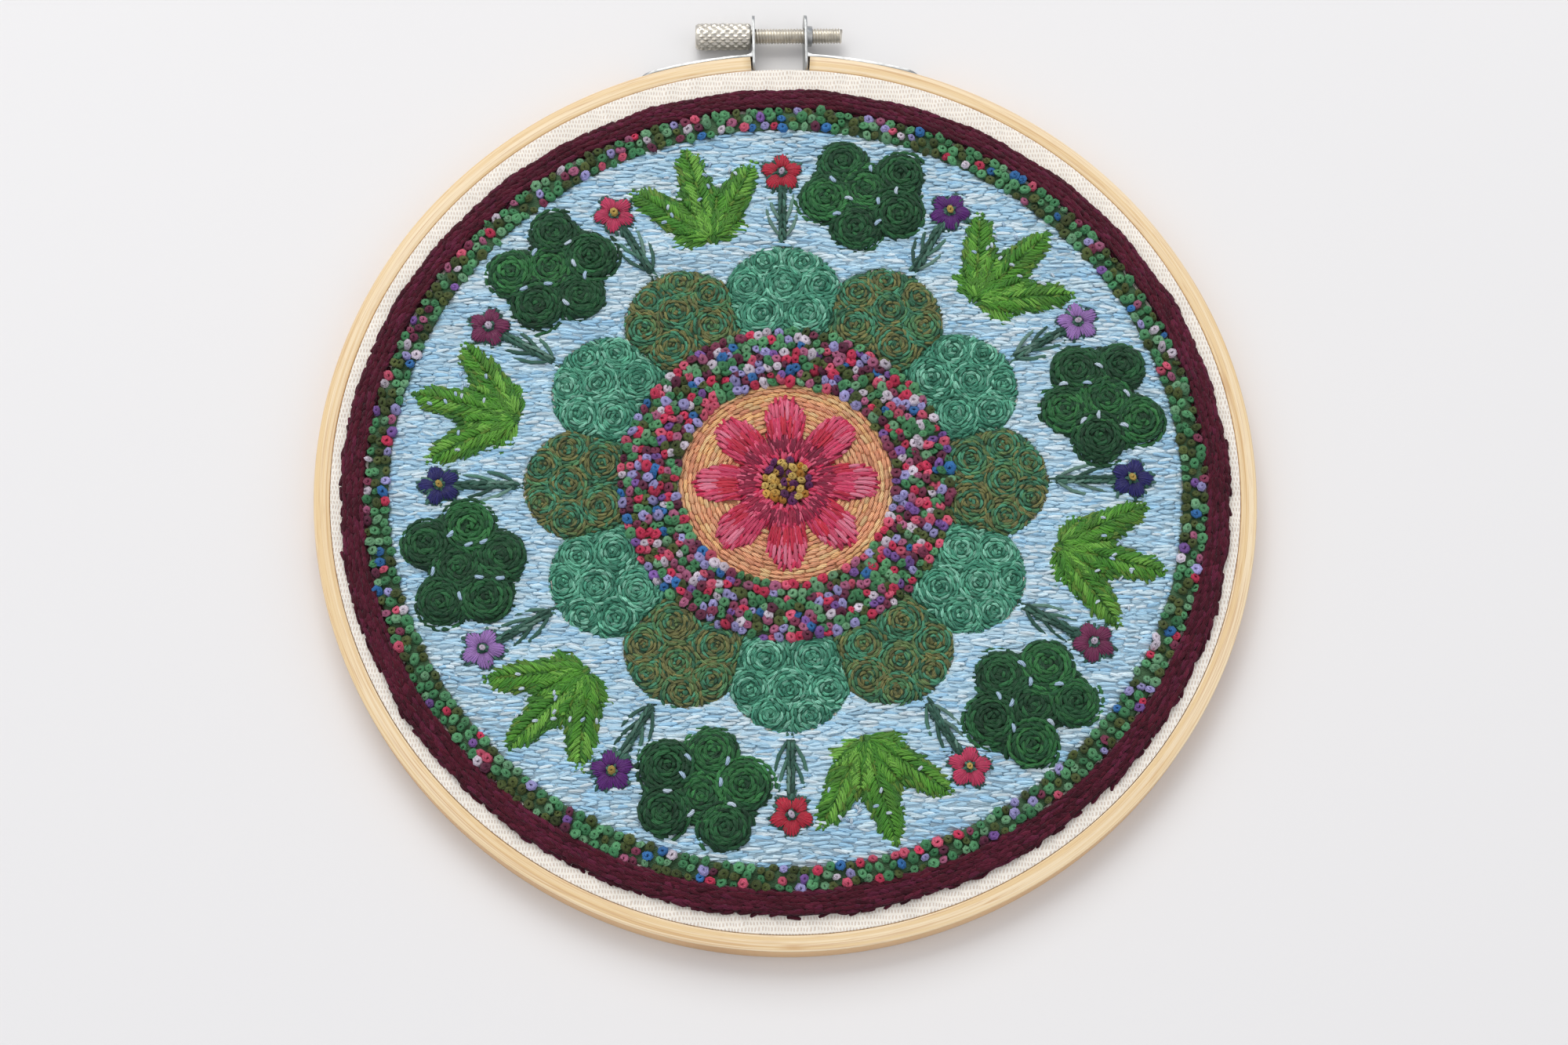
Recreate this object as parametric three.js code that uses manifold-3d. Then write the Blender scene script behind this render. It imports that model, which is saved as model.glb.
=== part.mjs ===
// Hoop embroidery art: a bamboo embroidery hoop with its thumb screw, a taut cloth, a stitched border
// and a stitched floral wreath. It lies flat on its back.
// Millimetres, +Z out of the stitched face, +Y towards the hoop's screw. The origin is on the surface that
// the back rests on, under the middle of the whole outline.
import * as THREE from "three";
import { mergeVertices } from "three/addons/utils/BufferGeometryUtils.js";
import Module from "manifold-3d";

const wasm = await Module();
wasm.setup();

// Hoop rings
const HOOP_R = 105;
const FACE_WIDTH = 3.55;
const RING_DEPTH = 7.5;
const RING_EDGE = 0.55;
const RING_STEPS = 64;
const PIECE_GAP = 0.3;
const CURVE_STEPS = 6;
const INNER_RING_WIDTH = 3.4;
const INNER_RING_EDGE = 0.4;
const GAP_HALF_ANGLE_LEFT = 3.76;
const GAP_HALF_ANGLE_RIGHT = 3.9;

// Cloth
const CLOTH_THICKNESS = 1;
const CLOTH_SKIRT_END = 1;
const CLOTH_ROUND = 0.55;

// Brackets and screw
const SHEET = 0.6;
const EAR_LEFT_X = -6.05;
const EAR_RIGHT_X = 6.1;
const EAR_TURN = 4;
const EAR_WIDTH = 6.5;
const EAR_TOP = 12;
const TAB_ROUND = 2;
const SCREW_RISE = 6.9;
const SCREW_HOLE_R = 2;
const STRAP_WIDTH = 6.2;
const STRAP_END_ANGLE = 18.2;
const STRAP_START_ANGLE = 3.4;
const STRAP_STEPS = 8;
const BEND_R = 1.3;
const COLLAR_R = 2.4;
const COLLAR_LENGTH = 1.3;
const SHANK_R = 1.7;
const SHANK_EASED_R = 1.6;
const SHANK_SEAT_HALF = 5.2;
const SHANK_TIP = 15.4;
const SHANK_CHAMFER = 0.4;
const KNOB_R = 3.22;
const KNOB_LENGTH = 13.1;
const KNOB_EDGE = 0.45;
const SCREW_SIDES = 16;

// Stitched design, on a circle pressed a little flat, its middle above the hoop's
const DESIGN_LIFT = -0.75;
const DESIGN_SQUASH = 0.976;
const BORDER_IN = 94.1;
const BORDER_OUT = 98.7;
const BORDER_HEIGHT = 1.7;
const BORDER_STEPS = 80;
const BORDER_RIPPLE = 0.35;
const BORDER_CROWN = 0.6;
const EDGE_KNOTS_IN = 88.5;
const EDGE_KNOTS_OUT = 93.2;
const EDGE_KNOTS_STEPS = 64;
const GROUND_HEIGHT = 0.8;
const GROUND_INSET = 0.8;
const GROUND_STEPS = 56;
const GROUND_STEPS_A_SCALLOP = 8;
const KNOT_HEIGHT = 1.6;
const KNOT_LUMP = 0.2;
const KNOT_CROWN = 0.5;
const INNER_KNOTS_OUT = 36.7;
const INNER_KNOTS_IN = 24.3;
const INNER_KNOTS_STEPS = 40;
const MOTIF_HEIGHT = 1;

// Scallops filled with small rosettes, twelve round the wreath
const SCALLOPS = 12;
const SCALLOP_IN = 37;
const SCALLOP_SHOULDER = 50;
const SCALLOP_BULGE = 8;
const SCALLOP_ROUND = 0.7;
const SCALLOP_HEIGHT = 1.2;
const SCALLOP_MIDDLE = 47.5;
const SCALLOP_SIDES = 18;
const ROSETTE_R = 4.7;
const ROSETTE_RISE = 0.4;
const ROSETTE_ROWS = [
  { reach: 41.3, count: 2, pitch: 10.4 },
  { reach: 48.6, count: 3, pitch: 8.5 },
  { reach: 54.4, count: 2, pitch: 8.8 },
];

// Whorl clusters and ferns, alternating between the scallops
const CLUSTERS = 6;
const CLUSTER_MIDDLE = 72.5;
const CLUSTER_REACH = 22;
const CLUSTER_SIDES = 28;
const WHORL_RISE = 0.45;
const WHORLS = [
  { side: 0, reach: 65, radius: 6.2 },
  { side: -8.6, reach: 70.5, radius: 6.6 },
  { side: 8.6, reach: 70.5, radius: 6.6 },
  { side: 0, reach: 75, radius: 6.2 },
  { side: -7, reach: 80.6, radius: 6 },
  { side: 7, reach: 80.6, radius: 6 },
];
const FERN_ROOT = 61.5;
const FERN_MIDDLE = 3.5;
const FERN_SIDES = 36;
const FRONDS = [
  { lean: -40, length: 23 },
  { lean: 0, length: 25.5 },
  { lean: 40, length: 23 },
];
const FROND_HALF_WIDTH = 4.2;
const FROND_FULLNESS = 0.8;

// Small flowers over the scallops
const FLOWER_REACH = 77;
const FLOWER_R = 5;
const FLOWER_NOTCH = 1.5;
const FLOWER_PETALS = 5;
const FLOWER_SIDES = 15;
const STEM_ROOT = 60;
const STEM_HALF_WIDTH = 0.9;
const STEM_HEIGHT = 0.7;

// Middle of the wreath
const DISC_R = 24;
const DISC_HEIGHT = 0.8;
const DISC_SIDES = 40;
const PETALS = 8;
const PETAL_IN = 9.5;
const PETAL_OUT = 20.5;
const PETAL_FULLNESS = 0.6;
const SIDES_A_PETAL = 6;
const HEART_HOLE_R = 6;
const HEART_R = 5.6;
const HEART_HEIGHT = 1.5;
const HEART_SIDES = 16;

// Worked-out sizes
const DEG = Math.PI / 180;
const RING_IN = HOOP_R - FACE_WIDTH;
const SKIRT_OUT = RING_IN - PIECE_GAP;
const SKIRT_IN = SKIRT_OUT - CLOTH_THICKNESS;
const INNER_RING_OUT = SKIRT_IN - PIECE_GAP;
const CLOTH_BACK = RING_DEPTH - CLOTH_THICKNESS;
const STITCH_BASE = RING_DEPTH + PIECE_GAP;
const GROUND_TOP = STITCH_BASE + GROUND_HEIGHT;
const MOTIF_BASE = GROUND_TOP + PIECE_GAP;
const DISC_TOP = STITCH_BASE + DISC_HEIGHT;
const HEART_BASE = DISC_TOP + PIECE_GAP;
const MID_DEPTH = RING_DEPTH / 2;
const SCREW_Y = HOOP_R + SCREW_RISE;
const STRAP_IN = HOOP_R + PIECE_GAP;
const OUTLINE_SHIFT = -EAR_TOP / 2;
const SECTOR = 360 / SCALLOPS;

// How a mound rises from its flat underside, as shares of its outline's reach and of its height
const FULL_MOUND = [
  { reach: 0, rise: 0 },
  { reach: 1, rise: 0 },
  { reach: 1, rise: 0.45 },
  { reach: 0.86, rise: 0.95 },
  { reach: 0.45, rise: 1 },
  { reach: 0, rise: 1 },
];
const LOW_MOUND = [
  { reach: 0, rise: 0 },
  { reach: 1, rise: 0 },
  { reach: 1, rise: 0.5 },
  { reach: 0.7, rise: 1 },
  { reach: 0, rise: 1 },
];

// Finishes
function finish(color, roughness, metalness = 0) {
  return new THREE.MeshStandardMaterial({ color, roughness, metalness });
}
const BAMBOO = finish(0xe9ceac, 0.55);
const LINEN = finish(0xe3dac8, 0.9);
const NICKEL = finish(0xb9b4a8, 0.32, 0.9);
const MAROON = finish(0x4b202b, 0.85);
const SKY_BLUE = finish(0x9fc4e6, 0.75);
const TEAL = finish(0x4fa583, 0.75);
const OLIVE = finish(0x5f8158, 0.75);
const DARK_GREEN = finish(0x1f5a33, 0.75);
const BRIGHT_GREEN = finish(0x4e9a2e, 0.75);
const TAN = finish(0xc98a5a, 0.75);
const MIXED_KNOTS = finish(0x8a5a80, 0.8);
const GREEN_KNOTS = finish(0x4a7a4c, 0.8);
const PETAL_RED = finish(0xd83a58, 0.7);
const HEART_PLUM = finish(0x6b2a66, 0.8);
const FLOWER_COLOURS = [0xd8324a, 0x6b2a86, 0xb88ad6, 0x2a2a66, 0x7a3a5c, 0xe0466f];
const FLOWER_FINISHES = FLOWER_COLOURS.map((color) => finish(color, 0.7));

const hoop = new THREE.Group();

function addPiece(name, geometry, material) {
  const mesh = new THREE.Mesh(geometry, material);
  mesh.name = name;
  mesh.position.set(0, OUTLINE_SHIFT, 0);
  hoop.add(mesh);
}

// Closed meshes to solids and back, for joining and cutting
function toSolid(geometry) {
  const bare = geometry.clone();
  bare.deleteAttribute("normal");
  bare.deleteAttribute("uv");
  const merged = mergeVertices(bare, 1e-4);
  const vertProperties = new Float32Array(merged.attributes.position.array);
  const triVerts = new Uint32Array(merged.index.array);
  return new wasm.Manifold(new wasm.Mesh({ numProp: 3, vertProperties, triVerts }));
}

function toGeometry(solid) {
  const mesh = solid.getMesh();
  const geometry = new THREE.BufferGeometry();
  geometry.setAttribute("position", new THREE.BufferAttribute(new Float32Array(mesh.vertProperties), 3));
  geometry.setIndex(new THREE.BufferAttribute(new Uint32Array(mesh.triVerts), 1));
  geometry.computeVertexNormals();
  return geometry;
}

// A profile of [radius, height] pairs turned about Y, and the same about Z.
// It runs outwards underneath and back over the top.
function turnedAboutY(profile, steps) {
  return new THREE.LatheGeometry(profile.map(([radius, height]) => new THREE.Vector2(radius, height)), steps);
}

function turned(profile, steps) {
  return turnedAboutY(profile, steps).rotateX(Math.PI / 2);
}

function extruded(shape, depth, curveSegments = CURVE_STEPS) {
  return new THREE.ExtrudeGeometry(shape, { depth, bevelEnabled: false, curveSegments });
}

// A square section with all corners cut, closed on itself
function ringProfile(inner, outer, low, high, edge) {
  return [
    [inner, low + edge],
    [inner + edge, low],
    [outer - edge, low],
    [outer, low + edge],
    [outer, high - edge],
    [outer - edge, high],
    [inner + edge, high],
    [inner, high - edge],
    [inner, low + edge],
  ];
}

// Half the section of a plain round plug
const plug = (radius, low, high) => [[0, low], [radius, low], [radius, high], [0, high]];

// A section that is flat underneath, with its upper corners cut
function bandProfile(inner, outer, high, edge) {
  return [
    [inner, STITCH_BASE],
    [outer, STITCH_BASE],
    [outer, high - edge],
    [outer - edge, high],
    [inner + edge, high],
    [inner, high - edge],
    [inner, STITCH_BASE],
  ];
}

function reshape(geometry, move) {
  const place = geometry.attributes.position;
  for (let i = 0; i < place.count; i += 1) {
    const [x, y, z] = move(place.getX(i), place.getY(i), place.getZ(i));
    place.setXYZ(i, x, y, z);
  }
  return geometry;
}

// From the design's own round layout to its place on the cloth
function ontoCloth(geometry, turn = 0) {
  geometry.rotateZ(-turn * DEG);
  geometry.scale(1, DESIGN_SQUASH, 1);
  geometry.translate(0, DESIGN_LIFT, 0);
  return geometry;
}

// Distance from a middle point to the edge of a shape, found by halving along each direction
function edgeOf(middle, inside, far) {
  return (angle) => {
    let near = 0;
    let beyond = far;
    while (beyond - near > 1e-3) {
      const half = (near + beyond) / 2;
      if (inside(middle.x + half * Math.cos(angle), middle.y + half * Math.sin(angle))) near = half;
      else beyond = half;
    }
    return near;
  };
}

// A low stitched mound on a flat underside, with an outline of its own and a raised figure on its top
function mound(rings, middle, edge, sides, base, height, relief = () => 0) {
  const profile = rings.map(({ reach, rise }) => [reach, rise]);
  return reshape(turned(profile, sides), (x, y, z) => {
    const share = Math.hypot(x, y);
    const angle = Math.atan2(y, x);
    const reach = share > 0 ? share * edge(angle) : 0;
    const placeX = middle.x + reach * Math.cos(angle);
    const placeY = middle.y + reach * Math.sin(angle);
    const raised = z > 0.9 ? relief(placeX, placeY) : 0;
    return [placeX, placeY, base + z * height + raised];
  });
}

const dome = (x, y, radius) => Math.max(0, 1 - (x * x + y * y) / (radius * radius));

// Rings
function outerRing() {
  const profile = ringProfile(RING_IN, HOOP_R, 0, RING_DEPTH, RING_EDGE);
  const ring = toSolid(turned(profile, RING_STEPS));
  const far = HOOP_R * 1.3;
  const wedge = new THREE.Shape();
  wedge.moveTo(0, 0);
  wedge.lineTo(far * Math.sin(GAP_HALF_ANGLE_RIGHT * DEG), far * Math.cos(GAP_HALF_ANGLE_RIGHT * DEG));
  wedge.lineTo(-far * Math.sin(GAP_HALF_ANGLE_LEFT * DEG), far * Math.cos(GAP_HALF_ANGLE_LEFT * DEG));
  const cutter = extruded(wedge, RING_DEPTH * 2);
  cutter.translate(0, 0, -RING_DEPTH / 2);
  return toGeometry(ring.subtract(toSolid(cutter)));
}

function innerRing() {
  const inner = INNER_RING_OUT - INNER_RING_WIDTH;
  const top = CLOTH_BACK - PIECE_GAP;
  return turned(
    [
      [inner, INNER_RING_EDGE],
      [inner + INNER_RING_EDGE, 0],
      [INNER_RING_OUT - INNER_RING_EDGE, 0],
      [INNER_RING_OUT, INNER_RING_EDGE],
      [INNER_RING_OUT, top],
      [inner, top],
      [inner, INNER_RING_EDGE],
    ],
    RING_STEPS,
  );
}

// One taut cloth: its face, and its edge turned down between the rings
function cloth() {
  return turned(
    [
      [0, CLOTH_BACK],
      [SKIRT_IN, CLOTH_BACK],
      [SKIRT_IN, CLOTH_SKIRT_END],
      [SKIRT_OUT, CLOTH_SKIRT_END],
      [SKIRT_OUT, RING_DEPTH - CLOTH_ROUND],
      [SKIRT_OUT - CLOTH_ROUND, RING_DEPTH],
      [0, RING_DEPTH],
    ],
    RING_STEPS,
  );
}

// The upright plate of a bracket: an ear over the ring with the screw's hole, and a tab down its cut end
function earPlate(x) {
  const half = EAR_WIDTH / 2;
  const low = RING_IN + PIECE_GAP;
  const high = HOOP_R + EAR_TOP;
  const outline = new THREE.Shape();
  outline.moveTo(low + TAB_ROUND, MID_DEPTH - half);
  outline.lineTo(high - half, MID_DEPTH - half);
  outline.absarc(high - half, MID_DEPTH, half, -Math.PI / 2, Math.PI / 2, false);
  outline.lineTo(low + TAB_ROUND, MID_DEPTH + half);
  outline.absarc(low + TAB_ROUND, MID_DEPTH + half - TAB_ROUND, TAB_ROUND, Math.PI / 2, Math.PI, false);
  outline.lineTo(low, MID_DEPTH - half + TAB_ROUND);
  outline.absarc(low + TAB_ROUND, MID_DEPTH - half + TAB_ROUND, TAB_ROUND, Math.PI, Math.PI * 1.5, false);
  const hole = new THREE.Path();
  hole.absarc(SCREW_Y, MID_DEPTH, SCREW_HOLE_R, 0, Math.PI * 2, true);
  outline.holes.push(hole);
  const plate = extruded(outline, SHEET);
  const alongY = new THREE.Vector3(0, 1, 0);
  const alongZ = new THREE.Vector3(0, 0, 1);
  const alongX = new THREE.Vector3(1, 0, 0);
  plate.applyMatrix4(new THREE.Matrix4().makeBasis(alongY, alongZ, alongX));
  plate.translate(x - SHEET / 2, 0, 0);
  return plate;
}

// The strap that lies along the ring's outer wall on the left, with a round end
function strap() {
  const half = STRAP_WIDTH / 2;
  const start = Math.PI / 2 + STRAP_START_ANGLE * DEG;
  const end = Math.PI / 2 + STRAP_END_ANGLE * DEG;
  const arc = new THREE.Shape();
  arc.absarc(0, 0, STRAP_IN + SHEET, start, end, false);
  arc.absarc(0, 0, STRAP_IN, end, start, true);
  const sheet = extruded(arc, STRAP_WIDTH, STRAP_STEPS);
  sheet.translate(0, 0, MID_DEPTH - half);
  const endX = -STRAP_IN * Math.sin(STRAP_END_ANGLE * DEG) + half;
  const outline = new THREE.Shape();
  outline.moveTo(0, MID_DEPTH - half);
  outline.lineTo(0, MID_DEPTH + half);
  outline.absarc(endX, MID_DEPTH, half, Math.PI / 2, Math.PI * 1.5, false);
  const reach = HOOP_R * 1.1;
  const roundEnd = extruded(outline, reach);
  roundEnd.rotateX(Math.PI / 2);
  roundEnd.translate(0, reach, 0);
  return toGeometry(toSolid(sheet).intersect(toSolid(roundEnd)));
}

// The round of the bend where the left strap turns up into its ear
function bend(x) {
  const outFace = x - SHEET / 2;
  const top = Math.sqrt((STRAP_IN + SHEET) ** 2 - outFace ** 2);
  const sunk = SHEET / 3;
  const section = new THREE.Shape();
  section.moveTo(outFace + sunk, top - sunk);
  section.lineTo(outFace + sunk, top + BEND_R);
  section.lineTo(outFace, top + BEND_R);
  section.absarc(outFace - BEND_R, top + BEND_R, BEND_R, 0, -Math.PI / 2, true);
  section.lineTo(outFace - BEND_R, top - sunk);
  const piece = extruded(section, STRAP_WIDTH);
  piece.translate(0, 0, MID_DEPTH - STRAP_WIDTH / 2);
  return piece;
}

// Half a turn about the upright through the ring's middle depth puts a left piece on the right
function turnedOver(geometry) {
  geometry.rotateY(Math.PI);
  geometry.translate(0, 0, RING_DEPTH);
  return geometry;
}

function leftBracket() {
  const strapAndBend = toSolid(strap()).add(toSolid(bend(EAR_LEFT_X)));
  return toGeometry(strapAndBend.add(toSolid(earPlate(EAR_LEFT_X))));
}

function rightBracket() {
  const collarProfile = [
    [SCREW_HOLE_R, 0],
    [COLLAR_R, 0],
    [COLLAR_R, COLLAR_LENGTH + SHEET / 2],
    [SCREW_HOLE_R, COLLAR_LENGTH + SHEET / 2],
    [SCREW_HOLE_R, 0],
  ];
  const collar = turnedAboutY(collarProfile, SCREW_SIDES);
  collar.rotateZ(-Math.PI / 2);
  collar.translate(EAR_RIGHT_X, SCREW_Y, MID_DEPTH);
  const ear = toSolid(earPlate(EAR_RIGHT_X)).add(toSolid(collar));
  const turnedEar = toGeometry(ear);
  turnedEar.translate(-EAR_RIGHT_X, 0, -MID_DEPTH);
  turnedEar.rotateY(EAR_TURN * DEG);
  turnedEar.translate(EAR_RIGHT_X, 0, MID_DEPTH);
  const strapAndBend = toSolid(turnedOver(strap())).add(toSolid(turnedOver(bend(-EAR_RIGHT_X))));
  return toGeometry(strapAndBend.add(toSolid(turnedEar)));
}

// The thumb screw, turned in one piece: knob, then shank, eased where it passes the ears
function thumbScrew() {
  const knobRight = EAR_LEFT_X - SHEET / 2 - PIECE_GAP;
  const knobLeft = knobRight - KNOB_LENGTH;
  const profile = [
    [0, knobLeft],
    [KNOB_R - KNOB_EDGE, knobLeft],
    [KNOB_R, knobLeft + KNOB_EDGE],
    [KNOB_R, knobRight - KNOB_EDGE],
    [KNOB_R - KNOB_EDGE, knobRight],
    [SHANK_EASED_R, knobRight],
    [SHANK_EASED_R, -SHANK_SEAT_HALF],
    [SHANK_R, -SHANK_SEAT_HALF],
    [SHANK_R, SHANK_SEAT_HALF],
    [SHANK_EASED_R, SHANK_SEAT_HALF],
    [SHANK_EASED_R, SHANK_TIP - SHANK_CHAMFER],
    [SHANK_EASED_R - SHANK_CHAMFER, SHANK_TIP],
    [0, SHANK_TIP],
  ];
  const screw = turnedAboutY(profile, SCREW_SIDES);
  screw.rotateY(Math.PI / SCREW_SIDES);
  screw.rotateZ(-Math.PI / 2);
  screw.translate(0, SCREW_Y, MID_DEPTH);
  return screw;
}

// The border: a raised rope of stitches with an uneven scalloped edge, a little wider at the bottom
function border() {
  const profile = bandProfile(BORDER_IN, BORDER_OUT, STITCH_BASE + BORDER_HEIGHT, BORDER_CROWN);
  const middle = (BORDER_IN + BORDER_OUT) / 2;
  const ring = reshape(turned(profile, BORDER_STEPS), (x, y, z) => {
    const radius = Math.hypot(x, y);
    const angle = Math.atan2(y, x);
    const outside = radius > middle;
    const ripple = BORDER_RIPPLE * (Math.sin(31 * angle) + 0.7 * Math.sin(17 * angle + (outside ? 1 : 3)));
    const heavy = outside ? 0.25 * (1 - Math.sin(angle)) : -0.15 * (1 - Math.sin(angle));
    const moved = radius + heavy + (outside ? ripple * 0.7 - 0.2 : ripple * 0.25 - 0.1);
    const raised = z > STITCH_BASE + BORDER_HEIGHT - 0.1 ? 0.12 * Math.sin(29 * angle + 2) : 0;
    return [moved * Math.cos(angle), moved * Math.sin(angle), z + raised];
  });
  return ontoCloth(ring);
}

// A band of knots, lumpy on top
function knotBand(inner, outer, steps) {
  const profile = bandProfile(inner, outer, STITCH_BASE + KNOT_HEIGHT, KNOT_CROWN);
  const band = reshape(turned(profile, steps), (x, y, z) => {
    const lump = Math.sin(x * 0.9) * Math.cos(y * 0.8);
    return [x, y, z > STITCH_BASE + KNOT_HEIGHT / 2 ? z + KNOT_LUMP * lump : z];
  });
  return ontoCloth(band);
}

// Outer reach of the scalloped ring of rosettes, by angle from a scallop's middle
function scallopReach(angle) {
  const share = Math.abs(angle) / ((SECTOR / 2) * DEG);
  return SCALLOP_SHOULDER + SCALLOP_BULGE * Math.max(0, Math.cos((share * Math.PI) / 2)) ** SCALLOP_ROUND;
}

// The blue ground: a flat stitched ring whose inner edge follows the scallops
function ground() {
  const shape = new THREE.Shape();
  const outer = EDGE_KNOTS_IN - PIECE_GAP;
  shape.absarc(0, 0, outer, 0, Math.PI * 2, false);
  const inner = [];
  const step = (SECTOR / GROUND_STEPS_A_SCALLOP) * DEG;
  for (let i = 0; i < SCALLOPS * GROUND_STEPS_A_SCALLOP; i += 1) {
    const turn = i * step;
    const fromMiddle = (i % GROUND_STEPS_A_SCALLOP) * step;
    const nearest = Math.min(fromMiddle, SECTOR * DEG - fromMiddle);
    const reach = scallopReach(nearest) + GROUND_INSET;
    inner.push(new THREE.Vector2(reach * Math.sin(turn), reach * Math.cos(turn)));
  }
  shape.holes.push(new THREE.Path(inner));
  const plate = extruded(shape, GROUND_HEIGHT, GROUND_STEPS);
  plate.translate(0, 0, STITCH_BASE);
  return ontoCloth(plate);
}

function rosetteMiddles() {
  return ROSETTE_ROWS.flatMap(({ reach, count, pitch }) =>
    Array.from({ length: count }, (_, i) => ({ side: (i - (count - 1) / 2) * pitch, reach })));
}

// One scallop, with its rosettes raised
function scallop(turn) {
  const middle = { x: 0, y: SCALLOP_MIDDLE };
  const inside = (x, y) => {
    const reach = Math.hypot(x, y);
    const angle = Math.atan2(x, y);
    const aside = (SECTOR / 2) * DEG - PIECE_GAP / 2 / reach;
    return Math.abs(angle) < aside && reach > SCALLOP_IN && reach < scallopReach(angle);
  };
  const relief = (x, y) => rosetteMiddles().reduce(
    (most, { side, reach }) => Math.max(most, ROSETTE_RISE * dome(x - side, y - reach, ROSETTE_R)),
    0,
  );
  const edge = edgeOf(middle, inside, SCALLOP_BULGE + SCALLOP_IN / 2);
  return ontoCloth(mound(FULL_MOUND, middle, edge, SCALLOP_SIDES, STITCH_BASE, SCALLOP_HEIGHT, relief), turn);
}

// A cluster of large whorls
function whorlCluster(turn) {
  const middle = { x: 0, y: CLUSTER_MIDDLE };
  const inside = (x, y) => WHORLS.some(
    ({ side, reach, radius }) => Math.hypot(x - side, y - reach) < radius,
  );
  const relief = (x, y) => WHORLS.reduce(
    (most, { side, reach, radius }) => Math.max(most, WHORL_RISE * dome(x - side, y - reach, radius)),
    0,
  );
  const edge = edgeOf(middle, inside, CLUSTER_REACH);
  return ontoCloth(mound(FULL_MOUND, middle, edge, CLUSTER_SIDES, MOTIF_BASE, MOTIF_HEIGHT, relief), turn);
}

// A fern of three fronds from one root
function fern(turn) {
  const middle = { x: 0, y: FERN_ROOT + FERN_MIDDLE };
  const inside = (x, y) => FRONDS.some(({ lean, length }) => {
    const along = (x * Math.sin(lean * DEG) + (y - FERN_ROOT) * Math.cos(lean * DEG)) / length;
    const aside = Math.abs(x * Math.cos(lean * DEG) - (y - FERN_ROOT) * Math.sin(lean * DEG));
    const half = FROND_HALF_WIDTH * Math.sqrt(Math.max(0, Math.sin(Math.PI * along ** FROND_FULLNESS)));
    return along > 0 && along < 1 && aside < half;
  });
  const edge = edgeOf(middle, inside, FRONDS[1].length);
  return ontoCloth(mound(LOW_MOUND, middle, edge, FERN_SIDES, MOTIF_BASE, MOTIF_HEIGHT), turn);
}

// A small flower on its stem
function flower(turn) {
  const middle = { x: 0, y: FLOWER_REACH };
  const edge = (angle) => {
    const petal = Math.abs(Math.cos((FLOWER_PETALS / 2) * (angle - Math.PI / 2)));
    return FLOWER_R - FLOWER_NOTCH * (1 - petal);
  };
  const head = mound(LOW_MOUND, middle, edge, FLOWER_SIDES, MOTIF_BASE, MOTIF_HEIGHT);
  const outline = new THREE.Shape();
  outline.moveTo(-STEM_HALF_WIDTH, STEM_ROOT);
  outline.lineTo(STEM_HALF_WIDTH, STEM_ROOT);
  outline.lineTo(STEM_HALF_WIDTH, FLOWER_REACH);
  outline.lineTo(-STEM_HALF_WIDTH, FLOWER_REACH);
  const stem = extruded(outline, STEM_HEIGHT);
  stem.translate(0, 0, MOTIF_BASE);
  return ontoCloth(toGeometry(toSolid(head).add(toSolid(stem))), turn);
}

// The wreath's middle: a flat disc, a large flower on it and a heart of knots
function disc() {
  return ontoCloth(turned(plug(DISC_R, STITCH_BASE, DISC_TOP), DISC_SIDES));
}

function middleFlower() {
  const edge = (angle) => {
    const petal = Math.abs(Math.cos((PETALS / 2) * angle)) ** PETAL_FULLNESS;
    return PETAL_IN + (PETAL_OUT - PETAL_IN) * petal;
  };
  const petals = mound(LOW_MOUND, { x: 0, y: 0 }, edge, PETALS * SIDES_A_PETAL, HEART_BASE, MOTIF_HEIGHT);
  const hole = turned(plug(HEART_HOLE_R, DISC_TOP, HEART_BASE + 2 * MOTIF_HEIGHT), HEART_SIDES);
  return ontoCloth(toGeometry(toSolid(petals).subtract(toSolid(hole))));
}

function heart() {
  return ontoCloth(mound(LOW_MOUND, { x: 0, y: 0 }, () => HEART_R, HEART_SIDES, HEART_BASE, HEART_HEIGHT));
}

addPiece("outer_ring", outerRing(), BAMBOO);
addPiece("inner_ring", innerRing(), BAMBOO);
addPiece("cloth", cloth(), LINEN);
addPiece("bracket_left", leftBracket(), NICKEL);
addPiece("bracket_right", rightBracket(), NICKEL);
addPiece("thumb_screw", thumbScrew(), NICKEL);
addPiece("border_stitching", border(), MAROON);
addPiece("edge_knots", knotBand(EDGE_KNOTS_IN, EDGE_KNOTS_OUT, EDGE_KNOTS_STEPS), GREEN_KNOTS);
addPiece("ground_stitching", ground(), SKY_BLUE);
addPiece("inner_knots", knotBand(INNER_KNOTS_IN, INNER_KNOTS_OUT, INNER_KNOTS_STEPS), MIXED_KNOTS);
addPiece("disc_stitching", disc(), TAN);
addPiece("middle_flower", middleFlower(), PETAL_RED);
addPiece("heart_knots", heart(), HEART_PLUM);
for (let i = 0; i < SCALLOPS; i += 1) {
  addPiece(`scallop_${i + 1}`, scallop(i * SECTOR), i % 2 === 0 ? TEAL : OLIVE);
  addPiece(`flower_${i + 1}`, flower(i * SECTOR), FLOWER_FINISHES[i % FLOWER_FINISHES.length]);
}
for (let i = 0; i < CLUSTERS; i += 1) {
  addPiece(`whorls_${i + 1}`, whorlCluster((2 * i + 0.5) * SECTOR), DARK_GREEN);
  addPiece(`fern_${i + 1}`, fern((2 * i + 1.5) * SECTOR), BRIGHT_GREEN);
}

export default hoop;
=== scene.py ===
"""A stitched flower medallion in a bamboo hoop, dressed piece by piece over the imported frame.

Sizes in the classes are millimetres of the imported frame; meshes are built in metres.
"""

from __future__ import annotations

import logging
import math
from collections.abc import Callable, Sequence
from dataclasses import dataclass, field
from enum import Enum

import bmesh
import bpy
import numpy as np
from mathutils import Matrix, Vector
from mathutils.bvhtree import BVHTree


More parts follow.
